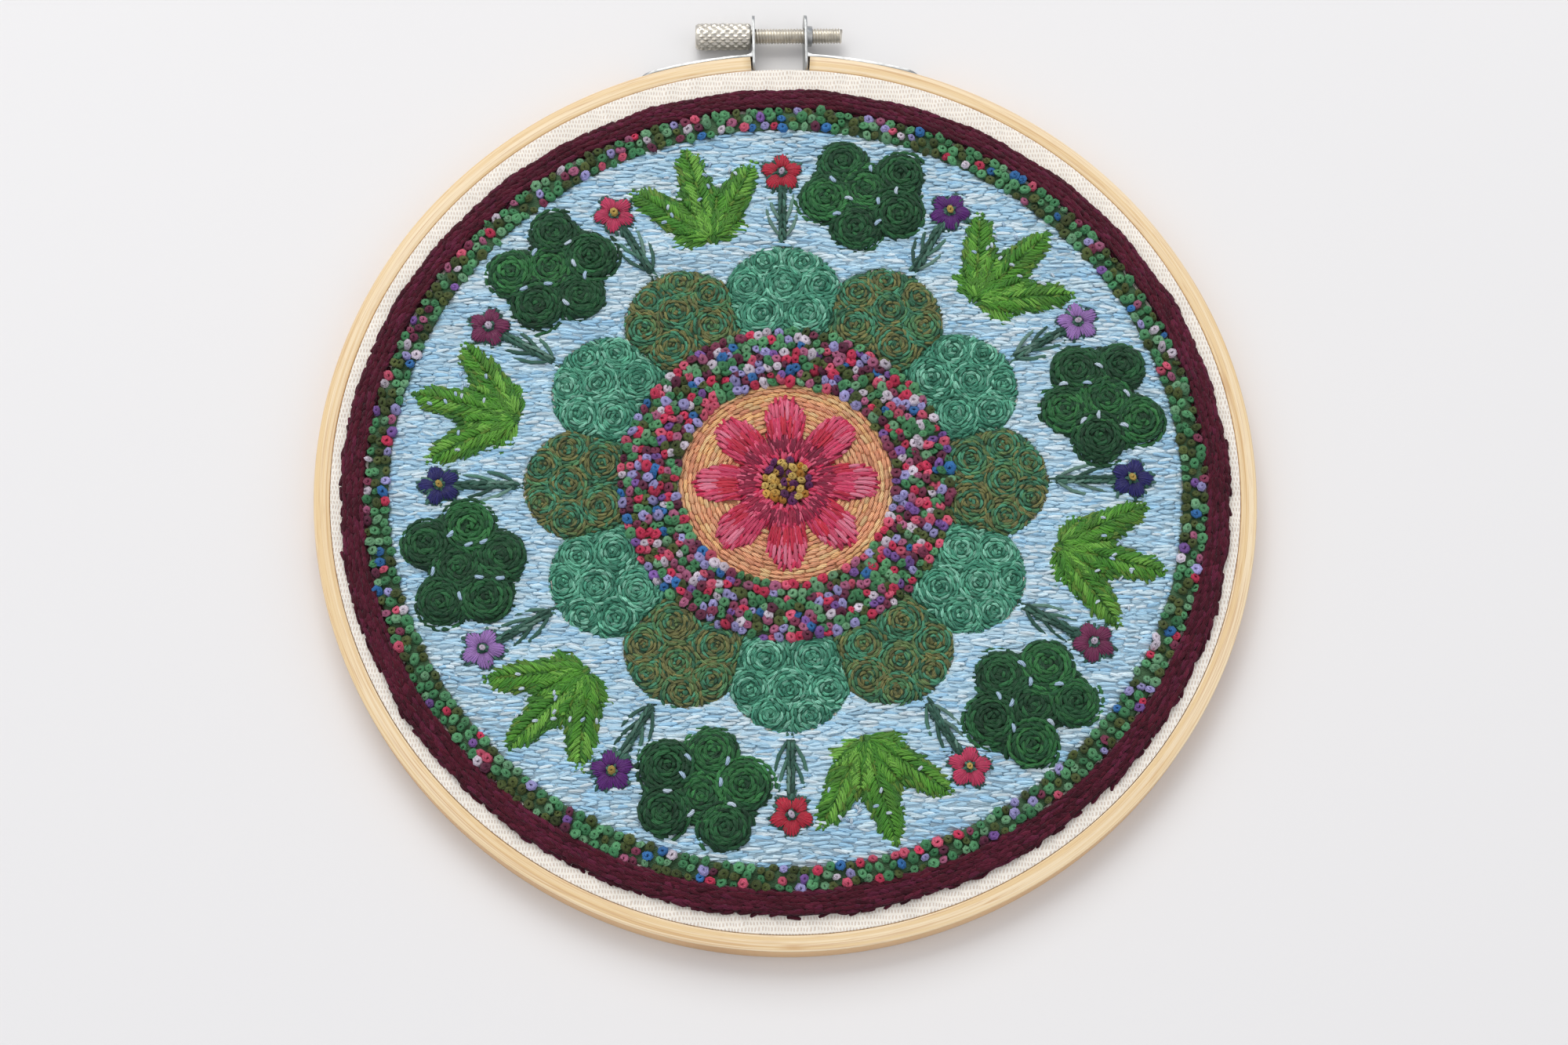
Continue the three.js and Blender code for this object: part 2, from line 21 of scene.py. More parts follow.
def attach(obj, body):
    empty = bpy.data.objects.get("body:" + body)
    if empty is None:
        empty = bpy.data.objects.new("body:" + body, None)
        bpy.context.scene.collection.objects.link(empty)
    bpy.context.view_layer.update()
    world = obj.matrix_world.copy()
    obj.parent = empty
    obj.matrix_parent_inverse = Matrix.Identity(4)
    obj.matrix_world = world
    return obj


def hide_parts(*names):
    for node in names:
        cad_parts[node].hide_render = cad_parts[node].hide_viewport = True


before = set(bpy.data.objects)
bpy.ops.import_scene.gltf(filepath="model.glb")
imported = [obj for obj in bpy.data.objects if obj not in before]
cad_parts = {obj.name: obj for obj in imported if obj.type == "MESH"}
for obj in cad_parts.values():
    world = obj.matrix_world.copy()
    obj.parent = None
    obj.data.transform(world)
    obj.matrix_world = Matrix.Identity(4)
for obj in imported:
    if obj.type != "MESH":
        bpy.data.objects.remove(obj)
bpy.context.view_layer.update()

MM = 0.001
HOOP_BODY = "hoop"
SCREW_BODY = "screw"
# Heights of the cloth's faces, of beds sewn into it, and of beds laid over other stitches
CLOTH_TOP = 7.5
CLOTH_BACK = 6.5
SUNK = CLOTH_TOP - 0.05
RAISED = CLOTH_TOP + 0.35
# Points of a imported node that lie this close, in metres, are one
WELD = 1e-6
# Name of the colour attribute: each thread's dye, with painted shade on dark beds, knots and filler
# stitches
DYE_AND_SHADE = "dye_and_shade"
THREAD_MAP = "thread"
FULL_TURN = 2 * math.pi
PALE_PEEKS = "b9d6ef d5e7f6"

Array = np.ndarray
Shape = bmesh.types.BMesh
Socket = bpy.types.NodeSocket
Table = tuple[tuple[float, ...], ...]

log = logging.getLogger("hoop")


def linear(colour: str) -> Array:
    """Turns a colour written as rrggbb into linear light.

    Args:
        colour: Six hexadecimal digits.

    Returns:
        Red, green and blue from 0 to 1.
    """
    parts = np.array([int(colour[i : i + 2], 16) for i in (0, 2, 4)]) / 255
    return np.where(parts <= 0.04045, parts / 12.92, ((parts + 0.055) / 1.055) ** 2.4)


def rgba(colour: str) -> tuple[float, float, float, float]:
    """Gives a colour written as rrggbb as a socket's four numbers."""
    return (*linear(colour), 1.0)


def palette(colours: str) -> Array:
    """Gives colours written as rrggbb with spaces between them as rows of linear light."""
    return np.array([linear(colour) for colour in colours.split()])


class Side(Enum):
    """The two sides of a chain link or of the hoop's opening."""

    LEFT = -1
    RIGHT = 1


# Shading


class Graph:
    """Builds a node tree one step at a time."""

    def __init__(self, tree: bpy.types.NodeTree) -> None:
        """Keeps the tree that the steps add to."""
        self.tree = tree

    def node(self, kind: str, **settings: object) -> bpy.types.Node:
        """Adds a node.

        Args:
            kind: The node's type name.
            settings: Attributes set on the node.

        Returns:
            The new node.
        """
        made = self.tree.nodes.new(kind)
        for name, value in settings.items():
            setattr(made, name, value)
        return made

    def feed(self, socket: Socket, value: object) -> None:
        """Links another socket to this one, or sets a constant on it."""
        if isinstance(value, Socket):
            self.tree.links.new(value, socket)
        else:
            socket.default_value = value

    def math(self, operation: str, *values: object) -> Socket:
        """Adds a Math node and returns its output."""
        made = self.node("ShaderNodeMath", operation=operation)
        for socket, value in zip(made.inputs, values):
            self.feed(socket, value)
        return made.outputs[0]

    def blend(self, share: object, first: object, second: object) -> Socket:
        """Adds a colour mix and returns its output."""
        made = self.node("ShaderNodeMix", data_type="RGBA")
        self.feed(made.inputs[0], share)
        self.feed(made.inputs[6], first)
        self.feed(made.inputs[7], second)
        return made.outputs[2]

    def scaled(self, colour: object, amount: object) -> Socket:
        """Multiplies a colour by a value and returns the result."""
        made = self.node("ShaderNodeVectorMath", operation="SCALE")
        self.feed(made.inputs[0], colour)
        self.feed(made.inputs["Scale"], amount)
        return made.outputs[0]

    def between(self, value: object, low: float, high: float, to_low: float, to_high: float) -> Socket:
        """Carries a value from one range to another, smoothly and clamped."""
        made = self.node("ShaderNodeMapRange", interpolation_type="SMOOTHSTEP")
        for socket, number in zip(made.inputs[:5], (value, low, high, to_low, to_high)):
            self.feed(socket, number)
        return made.outputs[0]

    def noise(self, vector: object, scale: float, detail: float = 2.0) -> Socket:
        """Adds a Noise Texture and returns its value."""
        made = self.node("ShaderNodeTexNoise")
        self.feed(made.inputs["Vector"], vector)
        made.inputs["Scale"].default_value = scale
        made.inputs["Detail"].default_value = detail
        return made.outputs[0]

    def vector(self, x: object, y: object, z: object) -> Socket:
        """Joins three values into a vector."""
        made = self.node("ShaderNodeCombineXYZ")
        for socket, value in zip(made.inputs, (x, y, z)):
            self.feed(socket, value)
        return made.outputs[0]

    def split(self, vector: object) -> bpy.types.NodeOutputs:
        """Splits a vector into its three values."""
        made = self.node("ShaderNodeSeparateXYZ")
        self.feed(made.inputs[0], vector)
        return made.outputs

    def place(self, scale: float = 1.0) -> Socket:
        """Gives the Object coordinates, scaled."""
        made = self.node("ShaderNodeMapping")
        coordinates = self.node("ShaderNodeTexCoord")
        self.feed(made.inputs["Vector"], coordinates.outputs["Object"])
        made.inputs["Scale"].default_value = (scale,) * 3
        return made.outputs[0]


def effect(
    name: str,
    inputs: dict[str, float],
    outputs: dict[str, str],
    fill: Callable[[Graph, dict[str, Socket]], dict[str, object]],
) -> bpy.types.NodeTree:
    """Builds a shared node group once.

    Args:
        name: The group's name.
        inputs: Input names with their default values.
        outputs: Output names with their socket types.
        fill: Adds the nodes and returns what feeds each output.

    Returns:
        The group.
    """
    group = bpy.data.node_groups.get(name)
    if group is not None:
        return group
    group = bpy.data.node_groups.new(name, "ShaderNodeTree")
    for label, value in inputs.items():
        socket = group.interface.new_socket(label, in_out="INPUT", socket_type="NodeSocketFloat")
        socket.default_value = value
    for label, kind in outputs.items():
        group.interface.new_socket(label, in_out="OUTPUT", socket_type=kind)
    graph = Graph(group)
    entry = graph.node("NodeGroupInput")
    leave = graph.node("NodeGroupOutput")
    made = fill(graph, {label: entry.outputs[label] for label in inputs})
    for label, socket in made.items():
        graph.feed(leave.inputs[label], socket)
    return group


def fill_ply(graph: Graph, given: dict[str, Socket]) -> dict[str, object]:
    """Draws the twisted strands of a thread along its own map.

    Args:
        graph: The group's graph.
        given: Strand width and twist length, both in millimetres.

    Returns:
        Height of the strands and how deep in shade each place is.
    """
    along, across, _ = graph.split(graph.node("ShaderNodeUVMap", uv_map=THREAD_MAP).outputs[0])
    wander = graph.math("MULTIPLY", graph.noise(graph.vector(along, across, 0.0), 1.3), 0.5)
    turns = graph.math("ADD", graph.math("DIVIDE", along, given["Twist"]), wander)
    strands = graph.math("ADD", graph.math("DIVIDE", across, given["Strand"]), turns)
    wave = graph.math("SINE", graph.math("MULTIPLY", strands, FULL_TURN))
    fine = graph.noise(
        graph.vector(graph.math("MULTIPLY", along, 1.2), graph.math("MULTIPLY", across, 11.0), 0.0), 1.0
    )
    height = graph.math("ADD", graph.math("MULTIPLY", wave, 0.35), fine)
    return {"Height": height, "Shade": graph.between(wave, -1.0, 0.2, 0.0, 1.0), "Fibre": fine}


def ply_group() -> bpy.types.NodeTree:
    """The strands of twisted floss."""
    outputs = dict.fromkeys(("Height", "Shade", "Fibre"), "NodeSocketFloat")
    return effect("thread_ply", {"Strand": 0.3, "Twist": 1.4}, outputs, fill_ply)


def fill_weave(graph: Graph, given: dict[str, Socket]) -> dict[str, object]:
    """Draws short upright floats that alternate from row to row.

    Args:
        graph: The group's graph.
        given: Pitch of the warp and of the weft, in millimetres.

    Returns:
        Height of the weave, where the floats lie, and how deep the painted shade in the gaps is.
    """
    place = graph.place(1000.0)
    wander = graph.noise(place, 0.35, 1.0)
    fine = graph.noise(place, 3.0, 2.0)
    x, y, _ = graph.split(place)
    bend = graph.math("MULTIPLY", graph.math("SUBTRACT", wander, 0.5), 1.1)
    jitter = graph.math("MULTIPLY", graph.math("SUBTRACT", fine, 0.5), 0.16)
    rows = graph.math("DIVIDE", graph.math("ADD", y, bend), given["Weft"])
    shift = graph.math("MULTIPLY", graph.math("FLOORED_MODULO", graph.math("FLOOR", rows), 2.0), 0.5)
    columns = graph.math("DIVIDE", graph.math("ADD", x, graph.math("ADD", bend, jitter)), given["Warp"])
    column = graph.math("ADD", columns, shift)
    from_middle = graph.math("ABSOLUTE", graph.math("SUBTRACT", graph.math("FRACT", column), 0.5))
    from_row = graph.math("ABSOLUTE", graph.math("SUBTRACT", graph.math("FRACT", rows), 0.5))
    narrow = graph.between(from_middle, 0.10, 0.34, 1.0, 0.0)
    band = graph.between(from_row, 0.22, 0.38, 1.0, 0.0)
    dash = graph.math("MULTIPLY", narrow, graph.between(from_row, 0.30, 0.44, 1.0, 0.0))
    shade = graph.math("SUBTRACT", band, dash)
    ridge = graph.math("MAXIMUM", dash, graph.math("MULTIPLY", graph.math("SUBTRACT", 1.0, band), 0.8))
    height = graph.math("ADD", ridge, graph.math("MULTIPLY", fine, 0.35))
    return {"Height": height, "Float": dash, "Gap": shade, "Slub": wander}


def weave_group() -> bpy.types.NodeTree:
    """The plain cotton's visible weave."""
    outputs = dict.fromkeys(("Height", "Float", "Gap", "Slub"), "NodeSocketFloat")
    return effect("cotton_weave", {"Warp": 0.7, "Weft": 1.2}, outputs, fill_weave)


def fill_grain(graph: Graph, given: dict[str, Socket]) -> dict[str, object]:
    """Draws bamboo fibres that run round the hoop's own middle.

    Args:
        graph: The group's graph.
        given: Across, the number of fibres to a millimetre, and a seed.

    Returns:
        Height of the grain, broad tone, and the fine dark fibres.
    """
    place = graph.place(1000.0)
    x, y, z = graph.split(place)
    from_middle = graph.math("SUBTRACT", y, Hoop.middle_y)
    reach = graph.math(
        "SQRT",
        graph.math("ADD", graph.math("MULTIPLY", x, x), graph.math("MULTIPLY", from_middle, from_middle)),
    )
    angle = graph.math("ARCTAN2", x, graph.math("MULTIPLY", from_middle, -1.0))
    length = graph.math("MULTIPLY", angle, 1.6)
    across = graph.math("MULTIPLY", reach, given["Across"])
    deep = graph.math("MULTIPLY", z, given["Across"])
    seeded = graph.math("ADD", length, given["Seed"])
    broad = graph.noise(
        graph.vector(graph.math("MULTIPLY", across, 0.5), graph.math("MULTIPLY", seeded, 0.8), deep),
        1.0,
        2.0,
    )
    fibres = graph.noise(graph.vector(across, graph.math("MULTIPLY", seeded, 1.6), deep), 1.0, 3.0)
    layers = graph.noise(
        graph.vector(graph.math("MULTIPLY", across, 0.42), graph.math("MULTIPLY", seeded, 0.35), 3.0),
        1.0,
        0.0,
    )
    specks = graph.noise(
        graph.vector(graph.math("MULTIPLY", across, 1.8), graph.math("MULTIPLY", seeded, 9.0), deep),
        1.0,
        1.0,
    )
    rings = graph.math(
        "ABSOLUTE", graph.math("SUBTRACT", graph.math("FRACT", graph.math("MULTIPLY", layers, 7.0)), 0.5)
    )
    edge = graph.between(rings, 0.0, 0.09, 1.0, 0.0)
    dark = graph.between(fibres, 0.54, 0.70, 0.0, 1.0)
    dash = graph.between(specks, 0.60, 0.72, 0.0, 0.6)
    line = graph.math("MAXIMUM", graph.math("MAXIMUM", dark, dash), edge)
    return {"Height": fibres, "Tone": graph.between(broad, 0.38, 0.62, 0.0, 1.0), "Line": line}


def grain_group() -> bpy.types.NodeTree:
    """Bamboo grain that follows a hoop."""
    outputs = dict.fromkeys(("Height", "Tone", "Line"), "NodeSocketFloat")
    return effect("bamboo_grain", {"Across": 2.6, "Seed": 0.0}, outputs, fill_grain)


def new_material(name: str) -> tuple[bpy.types.Material, Graph, bpy.types.Node]:
    """Makes a material with one Principled shader.

    Args:
        name: The material's name.

    Returns:
        The material, its graph and the shader node.
    """
    material = bpy.data.materials.new(name)
    material.use_nodes = True
    graph = Graph(material.node_tree)
    return material, graph, material.node_tree.nodes["Principled BSDF"]


def bumped(
    graph: Graph, shader: bpy.types.Node, height: object, distance: float, strength: float = 1.0
) -> None:
    """Feeds a height to a shader's normal.

    Args:
        graph: The material's graph.
        shader: The Principled node.
        height: The height from 0 to 1.
        distance: What a height of 1 stands for, in millimetres.
        strength: Share of the bump that shows.
    """
    bump = graph.node("ShaderNodeBump")
    bump.inputs["Distance"].default_value = distance * MM
    bump.inputs["Strength"].default_value = strength
    graph.feed(bump.inputs["Height"], height)
    graph.feed(shader.inputs["Normal"], bump.outputs[0])


@dataclass(frozen=True)
class ThreadFinish:
    """Dyed thread, coloured stitch by stitch from the piece's own attribute, with painted shade in the
    grooves between its strands.
    """

    name: str
    roughness: float = 0.52
    sheen: float = 0.08
    shine: float = 0.35
    strand: float = 0.4
    twist: float = 1.8
    # Brightness left at the bottom of the grooves between strands: painted shade
    groove: float = 0.5
    relief: float = 0.12

    def material(self) -> bpy.types.Material:
        """Builds the thread's material."""
        material, graph, shader = new_material(self.name)
        dye_and_shade = graph.node("ShaderNodeAttribute", attribute_name=DYE_AND_SHADE).outputs["Color"]
        ply = graph.node("ShaderNodeGroup", node_tree=ply_group())
        ply.inputs["Strand"].default_value = self.strand
        ply.inputs["Twist"].default_value = self.twist
        # Painted shade: the dye is darkened in the grooves between strands
        depth = graph.between(ply.outputs["Shade"], 0.0, 1.0, self.groove, 1.0)
        mottle = graph.between(ply.outputs["Fibre"], 0.3, 0.75, 0.9, 1.12)
        graph.feed(shader.inputs["Base Color"], graph.scaled(dye_and_shade, graph.math("MULTIPLY", depth, mottle)))
        graph.feed(
            shader.inputs["Roughness"],
            graph.between(ply.outputs["Fibre"], 0.3, 0.8, self.roughness - 0.1, self.roughness + 0.1),
        )
        shader.inputs["Specular IOR Level"].default_value = self.shine
        shader.inputs["Sheen Weight"].default_value = self.sheen
        shader.inputs["Sheen Roughness"].default_value = 0.4
        bumped(graph, shader, ply.outputs["Height"], self.relief)
        return material


@dataclass(frozen=True)
class CottonFinish:
    """Undyed woven cotton, with painted shade in the weave's gaps and painted highlights on its floats."""

    name: str = "undyed_cotton"
    float_highlight_colour: str = "fffbf2"
    ground_colour: str = "f8f1e4"
    gap_shade_colour: str = "dccdbd"
    relief: float = 0.07

    def material(self) -> bpy.types.Material:
        """Builds the cloth's material."""
        material, graph, shader = new_material(self.name)
        weave = graph.node("ShaderNodeGroup", node_tree=weave_group())
        # Painted shade in the gaps between threads, and painted highlights on the raised floats
        shaded = graph.between(weave.outputs["Gap"], 0.0, 1.0, 0.0, 0.85)
        plain = graph.blend(shaded, rgba(self.ground_colour), rgba(self.gap_shade_colour))
        woven = graph.blend(weave.outputs["Float"], plain, rgba(self.float_highlight_colour))
        graph.feed(
            shader.inputs["Base Color"],
            graph.scaled(woven, graph.between(weave.outputs["Slub"], 0.3, 0.7, 0.96, 1.03)),
        )
        graph.feed(shader.inputs["Roughness"], graph.between(weave.outputs["Float"], 0.0, 1.0, 0.95, 0.82))
        shader.inputs["Specular IOR Level"].default_value = 0.2
        shader.inputs["Sheen Weight"].default_value = 0.2
        bumped(graph, shader, weave.outputs["Height"], self.relief)
        return material


@dataclass(frozen=True)
class BambooFinish:
    """Smooth pale bamboo with fibres along the ring, and painted shade on its side walls."""

    name: str
    light: str = "f5e0bb"
    deep: str = "eacc99"
    fibre: str = "c48f55"
    wall_shade: str = "edba7b"
    seed: float = 0.0

    def material(self) -> bpy.types.Material:
        """Builds the bamboo's material."""
        material, graph, shader = new_material(self.name)
        grain = graph.node("ShaderNodeGroup", node_tree=grain_group())
        grain.inputs["Seed"].default_value = self.seed
        base = graph.blend(grain.outputs["Tone"], rgba(self.deep), rgba(self.light))
        # Painted shade: faces that look sideways get a darker, more orange colour than the upper face
        upward = graph.split(graph.node("ShaderNodeNewGeometry").outputs["Normal"])[2]
        wall_shade_share = graph.between(graph.math("ABSOLUTE", upward), 0.15, 0.8, 1.0, 0.0)
        wall_shaded = graph.blend(graph.math("MULTIPLY", wall_shade_share, 0.75), base, rgba(self.wall_shade))
        lined = graph.blend(graph.math("MULTIPLY", grain.outputs["Line"], 0.5), wall_shaded, rgba(self.fibre))
        graph.feed(shader.inputs["Base Color"], lined)
        graph.feed(shader.inputs["Roughness"], graph.between(grain.outputs["Height"], 0.3, 0.7, 0.42, 0.56))
        shader.inputs["Coat Weight"].default_value = 0.12
        shader.inputs["Coat Roughness"].default_value = 0.35
        bumped(graph, shader, grain.outputs["Height"], 0.05)
        return material


@dataclass(frozen=True)
class NickelFinish:
    """Plated steel with faint rolling marks."""

    name: str
    colour: str = "dfd9cc"
    roughness: float = 0.36
    stretch: tuple[float, float, float] = (1.0, 1.0, 1.0)

    def material(self) -> bpy.types.Material:
        """Builds the metal's material."""
        material, graph, shader = new_material(self.name)
        place = graph.place(1000.0)
        mapping = graph.node("ShaderNodeMapping")
        graph.feed(mapping.inputs["Vector"], place)
        mapping.inputs["Scale"].default_value = self.stretch
        marks = graph.noise(mapping.outputs[0], 2.2, 4.0)
        patches = graph.noise(place, 0.5, 2.0)
        shade = graph.between(patches, 0.3, 0.7, 0.86, 1.04)
        graph.feed(shader.inputs["Base Color"], graph.scaled(rgba(self.colour)[:3], shade))
        graph.feed(
            shader.inputs["Roughness"],
            graph.between(marks, 0.3, 0.7, self.roughness - 0.06, self.roughness + 0.1),
        )
        shader.inputs["Metallic"].default_value = 1.0
        bumped(graph, shader, marks, 0.012)
        return material


# Small shapes that are repeated


@dataclass(frozen=True)
class Template:
    """One small shape: its points, its faces, and each corner's place along the thread."""

    points: Array
    corners: Array
    sizes: Array
    thread: Array

    @classmethod
    def from_bmesh(
        cls,
        shape: Shape,
        thread: Callable[[bmesh.types.BMVert, bmesh.types.BMFace], tuple[float, float]],
    ) -> Template:
        """Reads a bmesh and frees it.

        Args:
            shape: The shape.
            thread: Gives a corner's place along and across the thread from its vertex and its face.

        Returns:
            The template.
        """
        shape.verts.ensure_lookup_table()
        points = np.array([vert.co[:] for vert in shape.verts])
        corners = np.array([loop.vert.index for face in shape.faces for loop in face.loops])
        sizes = np.array([len(face.loops) for face in shape.faces])
        places = [thread(loop.vert, face) for face in shape.faces for loop in face.loops]
        shape.free()
        return cls(points, corners, sizes, np.array(places))


def stitch_template(around: int, along: int, fullness: float = 3.0) -> Template:
    """Makes one plump stitch of unit length, width and height along X.

    Args:
        around: Sides of its cross-section.
        along: Divisions of its length.
        fullness: How blunt its ends are.

    Returns:
        The template.
    """
    shape = bmesh.new()
    bmesh.ops.create_uvsphere(
        shape, u_segments=around, v_segments=along, radius=0.5, matrix=Matrix.Rotation(math.pi / 2, 4, "Y")
    )
    for vert in shape.verts:
        radial = math.hypot(vert.co.y, vert.co.z)
        if radial > 0.01:
            plump = 0.5 * math.sqrt(1 - abs(2 * vert.co.x) ** fullness) / radial
            vert.co.y *= plump
            vert.co.z *= plump
    bmesh.ops.recalc_face_normals(shape, faces=shape.faces)
    return Template.from_bmesh(shape, lambda vert, _: (vert.co.x, vert.co.y))


def knot_template(sides: int = 5, steps: int = 12, turns: float = 1.85, tube: float = 0.5) -> Template:
    """Makes one French knot: thread wound nearly twice round and drawn down through its own middle.

    Args:
        sides: Sides of the thread's cross-section.
        steps: Divisions along the coil.
        turns: Turns of the coil.
        tube: The thread's radius.

    Returns:
        The template, in millimetres for a knot of middling size.
    """
    shape = bmesh.new()
    reach = 1.0
    turned = Matrix.Translation((reach, 0, 0)) @ Matrix.Rotation(math.pi / 2, 4, "X")
    bmesh.ops.create_circle(shape, segments=sides, radius=tube, matrix=turned)
    bmesh.ops.spin(
        shape,
        geom=shape.verts[:] + shape.edges[:],
        cent=(0, 0, 0),
        axis=(0, 0, 1),
        angle=FULL_TURN * turns,
        steps=steps,
        use_duplicate=False,
    )
    shape.verts.index_update()
    for vert in shape.verts:
        share = (vert.index // sides) / steps
        angle = FULL_TURN * turns * share
        ahead = Vector((math.cos(angle), math.sin(angle), 0))
        wound = 0.66 - 0.30 * share**1.6 - 0.36 * max(0.0, share - 0.74) / 0.26
        rise = 0.72 * share**0.85 + 0.04 * max(0.0, share - 0.74) / 0.26
        slim = 1.0 - 0.2 * max(0.0, share - 0.8) / 0.2
        vert.co = (vert.co - ahead * reach) * slim + ahead * wound + Vector((0, 0, rise))
    bmesh.ops.holes_fill(shape, edges=[edge for edge in shape.edges if edge.is_boundary], sides=0)
    bmesh.ops.recalc_face_normals(shape, faces=shape.faces)
    length = FULL_TURN * turns * 0.7

    def wrapped(vert: bmesh.types.BMVert, face: bmesh.types.BMFace) -> tuple[float, float]:
        """Gives a corner's place along the coil and round the thread."""
        around = vert.index % sides
        beside = {other.index % sides for other in face.verts}
        if around == 0 and sides - 1 in beside:
            around = sides
        return (vert.index // sides) / steps * length, around / sides * FULL_TURN * tube

    return Template.from_bmesh(shape, wrapped)


@dataclass
class Sewing:
    """Gathers many small shapes into one mesh with a colour for each point."""

    points: list[Array] = field(default_factory=list)
    corners: list[Array] = field(default_factory=list)
    sizes: list[Array] = field(default_factory=list)
    dyes: list[Array] = field(default_factory=list)
    thread: list[Array] = field(default_factory=list)
    count: int = 0

    def add(self, template: Template, placed: Array, dyes: Array, stretch: Array, offset: Array) -> None:
        """Adds copies of a template.

        Args:
            template: The shape.
            placed: Points of every copy, copies by points by 3, in millimetres.
            dyes: Colour of every point, the same way, with painted shade where a motif darkens it.
            stretch: Length and width of the thread on each copy.
            offset: Where on the thread each copy starts.
        """
        copies, size, _ = placed.shape
        shifts = self.count + size * np.arange(copies)[:, None]
        self.points.append(placed.reshape(-1, 3))
        self.dyes.append(dyes.reshape(-1, 3))
        self.corners.append((template.corners[None, :] + shifts).ravel())
        self.sizes.append(np.tile(template.sizes, copies))
        places = template.thread[None, :, :] * stretch[:, None, :] + offset[:, None, :]
        self.thread.append(places.reshape(-1, 2))
        self.count += copies * size

    def add_solid(self, points: Array, faces: list[list[int]], dye_and_shade: Array) -> None:
        """Adds a solid of one colour.

        Args:
            points: Its points, in millimetres.
            faces: Its faces, as indices into the points.
            dye_and_shade: Its colour, darker than the threads on several beds as painted shade in the gaps
                between stitches.
        """
        corners = np.array([index for face in faces for index in face])
        self.points.append(points)
        self.dyes.append(np.tile(dye_and_shade, (len(points), 1)))
        self.corners.append(corners + self.count)
        self.sizes.append(np.array([len(face) for face in faces]))
        self.thread.append(points[corners, :2])
        self.count += len(points)

    def build(self, name: str) -> bpy.types.Object:
        """Makes the object.

        Args:
            name: The piece's name.

        Returns:
            The object, at the origin.
        """
        mesh = bpy.data.meshes.new(name)
        points = np.concatenate(self.points) * MM
        corners = np.concatenate(self.corners)
        sizes = np.concatenate(self.sizes)
        mesh.vertices.add(len(points))
        mesh.vertices.foreach_set("co", points.ravel())
        mesh.loops.add(len(corners))
        mesh.loops.foreach_set("vertex_index", corners.astype(np.int32))
        mesh.polygons.add(len(sizes))
        mesh.polygons.foreach_set(
            "loop_start", np.concatenate(([0], np.cumsum(sizes)[:-1])).astype(np.int32)
        )
        mesh.update(calc_edges=True)
        mesh.shade_smooth()
        dyes = np.concatenate((np.concatenate(self.dyes), np.ones((len(points), 1))), axis=1)
        mesh.color_attributes.new(DYE_AND_SHADE, "FLOAT_COLOR", "POINT").data.foreach_set("color", dyes.ravel())
        mesh.uv_layers.new(name=THREAD_MAP).data.foreach_set("uv", np.concatenate(self.thread).ravel())
        return linked(name, mesh)


def linked(name: str, mesh: bpy.types.Mesh) -> bpy.types.Object:
    """Puts a mesh in the scene under a name."""
    obj = bpy.data.objects.new(name, mesh)
    bpy.context.scene.collection.objects.link(obj)
    return obj


def from_shape(name: str, shape: Shape, unit_size: float = MM) -> bpy.types.Object:
    """Turns a bmesh into a smooth object, and frees the bmesh.

    Args:
        name: The piece's name.
        shape: The bmesh.
        unit_size: What one of its units is, in metres.

    Returns:
        The object, at the origin.
    """
    bmesh.ops.scale(shape, vec=(unit_size,) * 3, verts=shape.verts)
    mesh = bpy.data.meshes.new(name)
    shape.to_mesh(mesh)
    shape.free()
    mesh.shade_smooth()
    return linked(name, mesh)


def packed(name: str) -> Shape:
    """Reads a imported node's mesh, with its doubles merged."""
    shape = bmesh.new()
    shape.from_mesh(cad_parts[name].data)
    bmesh.ops.remove_doubles(shape, verts=shape.verts, dist=WELD)
    return shape


def profile(points: Sequence[tuple[float, float, float]]) -> Shape:
    """Draws an open line through points, ready to be spun."""
    shape = bmesh.new()
    verts = [shape.verts.new(point) for point in points]
    for first, second in zip(verts, verts[1:]):
        shape.edges.new((first, second))
    return shape


def turned(shape: Shape, axis: tuple[int, int, int], steps: int, weld: float) -> None:
    """Spins a line or a loop once round an axis and joins its seam and its poles.

    Args:
        shape: The bmesh that holds it.
        axis: The axis, through the origin.
        steps: Divisions of the turn.
        weld: Points this close become one.
    """
    bmesh.ops.spin(
        shape,
        geom=shape.verts[:] + shape.edges[:],
        cent=(0, 0, 0),
        axis=axis,
        angle=FULL_TURN,
        steps=steps,
        use_merge=True,
        use_duplicate=False,
    )
    bmesh.ops.remove_doubles(shape, verts=shape.verts, dist=weld)


def spun_piece(name: str, shape: Shape, at: tuple[float, float, float]) -> bpy.types.Object:
    """Turns a spun shape's faces outwards, moves it to its place and makes it an object."""
    bmesh.ops.recalc_face_normals(shape, faces=shape.faces)
    bmesh.ops.translate(shape, vec=at, verts=shape.verts)
    return from_shape(name, shape)


def settle(
    obj: bpy.types.Object, body: str, material: bpy.types.Material, replaced: Sequence[str] = ()
) -> None:
    """Dresses a piece and gives it to its body.

    Args:
        obj: The piece.
        body: The body that it rides on.
        material: What it is finished with.
        replaced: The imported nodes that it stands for.
    """
    obj.data.materials.clear()
    obj.data.materials.append(material)
    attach(obj, body)
    if replaced:
        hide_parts(*replaced)
    faces = sum(len(face.vertices) - 2 for face in obj.data.polygons)
    log.info("%s: %d triangles on %s", obj.name, faces, body)


# The design's ground plan


